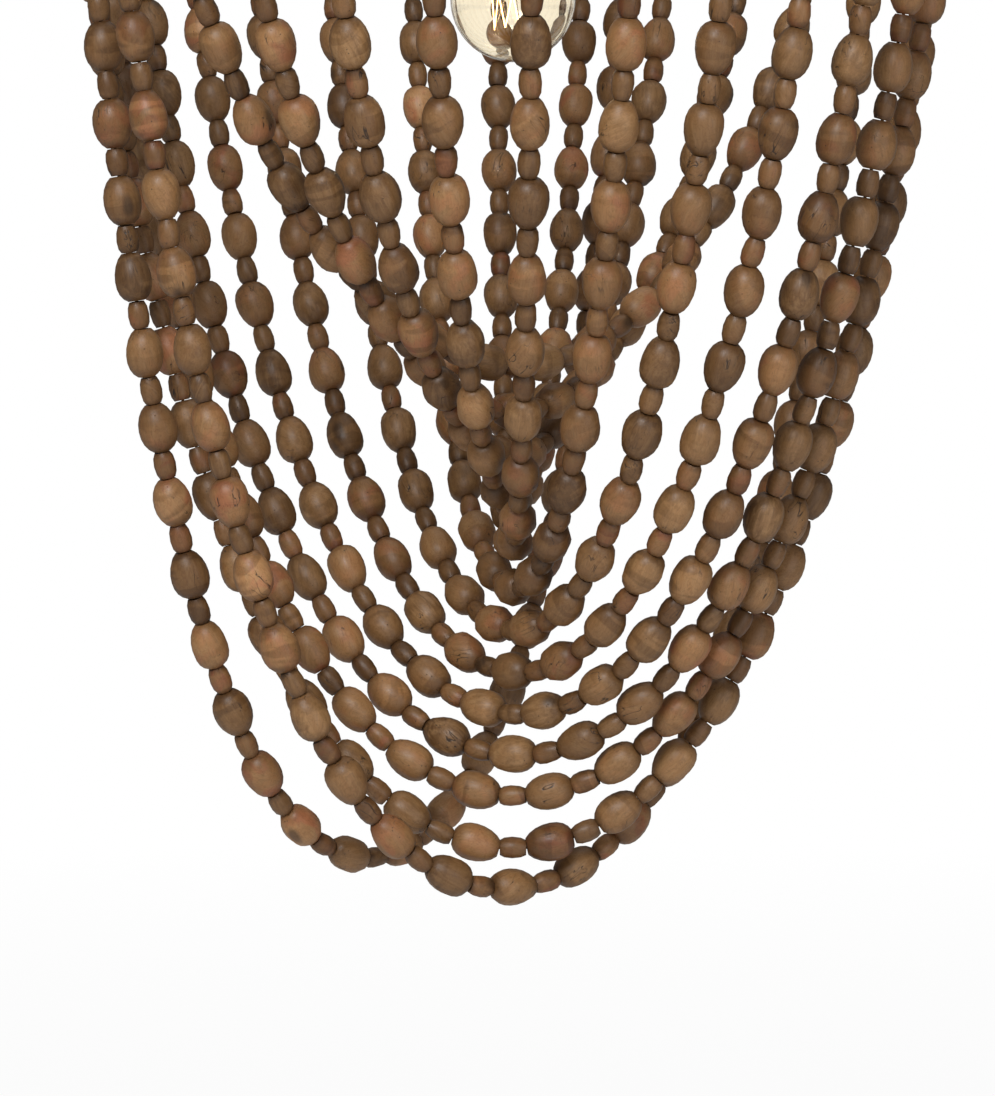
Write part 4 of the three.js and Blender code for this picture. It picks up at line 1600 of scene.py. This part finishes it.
    def build_glass(self) -> None:
        """Makes the bulb as a thin shell of glass."""
        outline = self.glass_outline(0) + self.glass_outline(self.glass_wall)[::-1]
        bulb = Shape().turned(outline, self.steps)
        bulb.piece("lamp_glass_bulb", "lamp", Finish.GLASS, ["bulb_glass"], 60)

    def build_inside(self) -> None:
        """Makes the glass mount, the lead wires, the supports and the filament."""
        low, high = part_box("bulb_mount")
        foot, height = high.x, high.z - low.z
        button = [(0, 0), (2.4, 0.5), (3.4, 2), (3.2, 4.2), (2.3, 6), (2, 9)]
        mount = fitted(button, MM, low.z, MM)
        mount += [(2.2 * MM, low.z + height * 0.7), (3.4 * MM, low.z + height * 0.84)]
        mount += [(foot * 0.6, low.z + height * 0.95)]
        mount += [(foot, high.z - 0.5 * MM), (foot, high.z), (0.0, high.z)]
        Shape().turned(mount, 32).piece("lamp_mount", "lamp", Finish.GLASS, ["bulb_mount"], 60)

        glass_low, glass_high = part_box("bulb_glass")
        upper = low.z + 13 * MM
        lower = glass_low.z + glass_high.x * 0.52
        knees = []
        for i in range(self.filament_wires):
            angle = TURN * (i + 0.5) / self.filament_wires
            outward = Vector((math.cos(angle), math.sin(angle), 0))
            reach, level = (9.5 * MM, lower) if i % 2 else (12.5 * MM, upper)
            knees.append(outward * reach + UP * level)
        glow, posts = Shape(), Shape()
        steps = self.filament_steps
        for here, there in zip(knees, knees[1:]):
            route = [here.lerp(there, j / steps) for j in range(steps + 1)]
            glow.swept(circle(self.filament_radius, 6), path_frames(route, UP.cross(there - here)))
        glow.piece("lamp_filament", "lamp", Finish.GLOW, (), 60)
        for i, knee in enumerate(knees):
            root = Vector((0, 0, low.z + (2 if i % 2 else 5) * MM))
            middle = root.lerp(knee, 0.55) + UP * (-1 if i % 2 else 2) * MM
            side = UP.cross(knee - root)
            self.add_wire(posts, (root, middle, knee), self.lead_radius * 0.7, 6, side)
        for way in (1, -1):
            top = Vector((way * 5 * MM, 0, high.z - 3 * MM))
            bend = Vector((way * 4 * MM, 0, low.z + height * 0.45))
            end = Vector((way * 2.4 * MM, 0, low.z + 6 * MM))
            self.add_wire(posts, (top, bend, end), self.lead_radius, 8, Vector((0, 1, 0)))
        posts.piece("lamp_supports", "lamp", Finish.NICKEL)

    def add_wire(
        self, posts: Shape, ends: tuple[Vector, ...], radius: float, sides: int, side: Vector
    ) -> None:
        """Adds one wire with a knee.

        Args:
            posts: The wires so far.
            ends: Where it starts, bends and ends.
            radius: Its radius.
            sides: How many corners its section has.
            side: The direction across it.
        """
        start, bend, end = ends
        route = [start, start.lerp(bend, 0.5), bend, bend.lerp(end, 0.5), end]
        posts.swept(circle(radius, sides), path_frames(route, side))


# ---- Studio ----


@dataclass
class Studio:
    """Camera, lamps, floor and background."""

    picture_width: float = 995
    picture_height: float = 1096
    axis_pixel_x: float = 513
    horizon_pixel_y: float = 400
    pixels_per_mm: float = 2.1
    distance: float = 1.8
    camera_drop: float = 0.222
    light_drop: float = 0.15
    sensor: float = 36
    floor_drop: float = 0.42
    floor_size: float = 14
    white: Colour = (1.0, 1.0, 1.0)
    floor_dark: Colour = (0.9, 0.9, 0.9)
    floor_pale: Colour = (0.94, 0.94, 0.94)
    world_level: float = 0.17
    key_power: float = 62
    fill_power: float = 15
    top_power: float = 7

    def build(self, level: float) -> None:
        """Sets up the studio.

        Args:
            level: The height of the hoop's pegs, which camera and lamps follow.
        """
        self.build_camera(level - self.camera_drop)
        target = Vector((0, 0, level - self.light_drop))
        self.add_light("key", target, Vector((-0.6, -2.3, 1.5)), 1.3, self.key_power)
        self.add_light("fill", target, Vector((1.6, -2.1, 0.1)), 1.6, self.fill_power)
        self.add_light("top", target, Vector((0.2, 0.5, 1.9)), 1.5, self.top_power)
        self.build_world()
        self.build_floor()
        bpy.context.scene.view_settings.view_transform = "Standard"

    def build_camera(self, height: float) -> None:
        """Places the camera level, as the photograph was taken.

        Args:
            height: How high it stands.
        """
        data = bpy.data.cameras.new("camera")
        data.sensor_fit = "HORIZONTAL"
        data.sensor_width = self.sensor
        data.lens = self.pixels_per_mm * self.distance / MM / self.picture_width * self.sensor
        data.shift_x = (self.picture_width / 2 - self.axis_pixel_x) / self.picture_width
        data.shift_y = (self.horizon_pixel_y - self.picture_height / 2) / self.picture_width
        camera = added("camera", data)
        camera.location = (0, -self.distance, height)
        camera.rotation_euler = (TURN / 4, 0, 0)
        bpy.context.scene.camera = camera

    def add_light(self, name: str, target: Vector, away: Vector, size: float, power: float) -> None:
        """Adds one soft box that faces a target.

        Args:
            name: The lamp's name.
            target: What it faces.
            away: Where it stands, from the target.
            size: How wide it is.
            power: How strong it is, in watts.
        """
        data = bpy.data.lights.new(name, "AREA")
        data.size = size
        data.energy = power
        light = added(name, data)
        place = target + away
        light.location = place
        light.rotation_euler = (target - place).to_track_quat("-Z", "Y").to_euler()

    def build_world(self) -> None:
        """Makes an even pale world that the camera sees as white, also through glass."""
        world = bpy.data.worlds.new("studio")
        bpy.context.scene.world = world
        g = Graph(world)
        path = g.add("LightPath").outputs
        seen = g.calc("MAXIMUM", path["Is Camera Ray"], path["Is Transmission Ray"])
        light = g.add("Background", {"Color": self.white, "Strength": self.world_level})
        view = g.add("Background", {"Color": self.white})
        mix = g.add("MixShader", {0: seen, 1: light.outputs[0], 2: view.outputs[0]})
        g.add("OutputWorld", {"Surface": mix.outputs[0]})

    def build_floor(self) -> None:
        """Lays the pale floor well below the lowest bead."""
        shape = Shape()
        bmesh.ops.create_grid(shape.bm, x_segments=1, y_segments=1, size=self.floor_size / 2)
        mesh = bpy.data.meshes.new("floor")
        shape.bm.to_mesh(mesh)
        shape.bm.free()
        mesh.transform(Matrix.Translation((0, 0, CAD_BOX[0][2] - self.floor_drop)))
        material = bpy.data.materials.new("pale_floor")
        g = Graph(material)
        cloud = g.noise(g.place(), 0.8, 2)
        diffuse = g.add("BsdfDiffuse", {"Color": g.blend(cloud, self.floor_dark, self.floor_pale)})
        glow = g.add("Emission", {"Color": self.white, "Strength": 1.0})
        far = g.add("VectorMath", {0: g.place()}, operation="LENGTH").outputs["Value"]
        seen = g.add("LightPath").outputs["Is Camera Ray"]
        share = g.times(seen, g.spread(far, 1.0, 4.0, 0.92, 1.0))
        mix = g.add("MixShader", {0: share, 1: diffuse.outputs[0], 2: glow.outputs[0]})
        g.add("OutputMaterial", {"Surface": mix.outputs[0]})
        mesh.materials.append(material)
        floor = added("floor", mesh)


def main() -> None:
    """Builds the chandelier piece by piece."""
    logging.basicConfig(level=logging.INFO, format="%(name)s: %(message)s")
    hoop = Hoop()
    Studio().build(hoop.level())
    BeadNest().build(hoop)
    hoop.build()
    Arms().build(hoop)
    Hub().build()
    Suspension().build()
    Lamp().build()


if __name__ == "__main__":
    main()
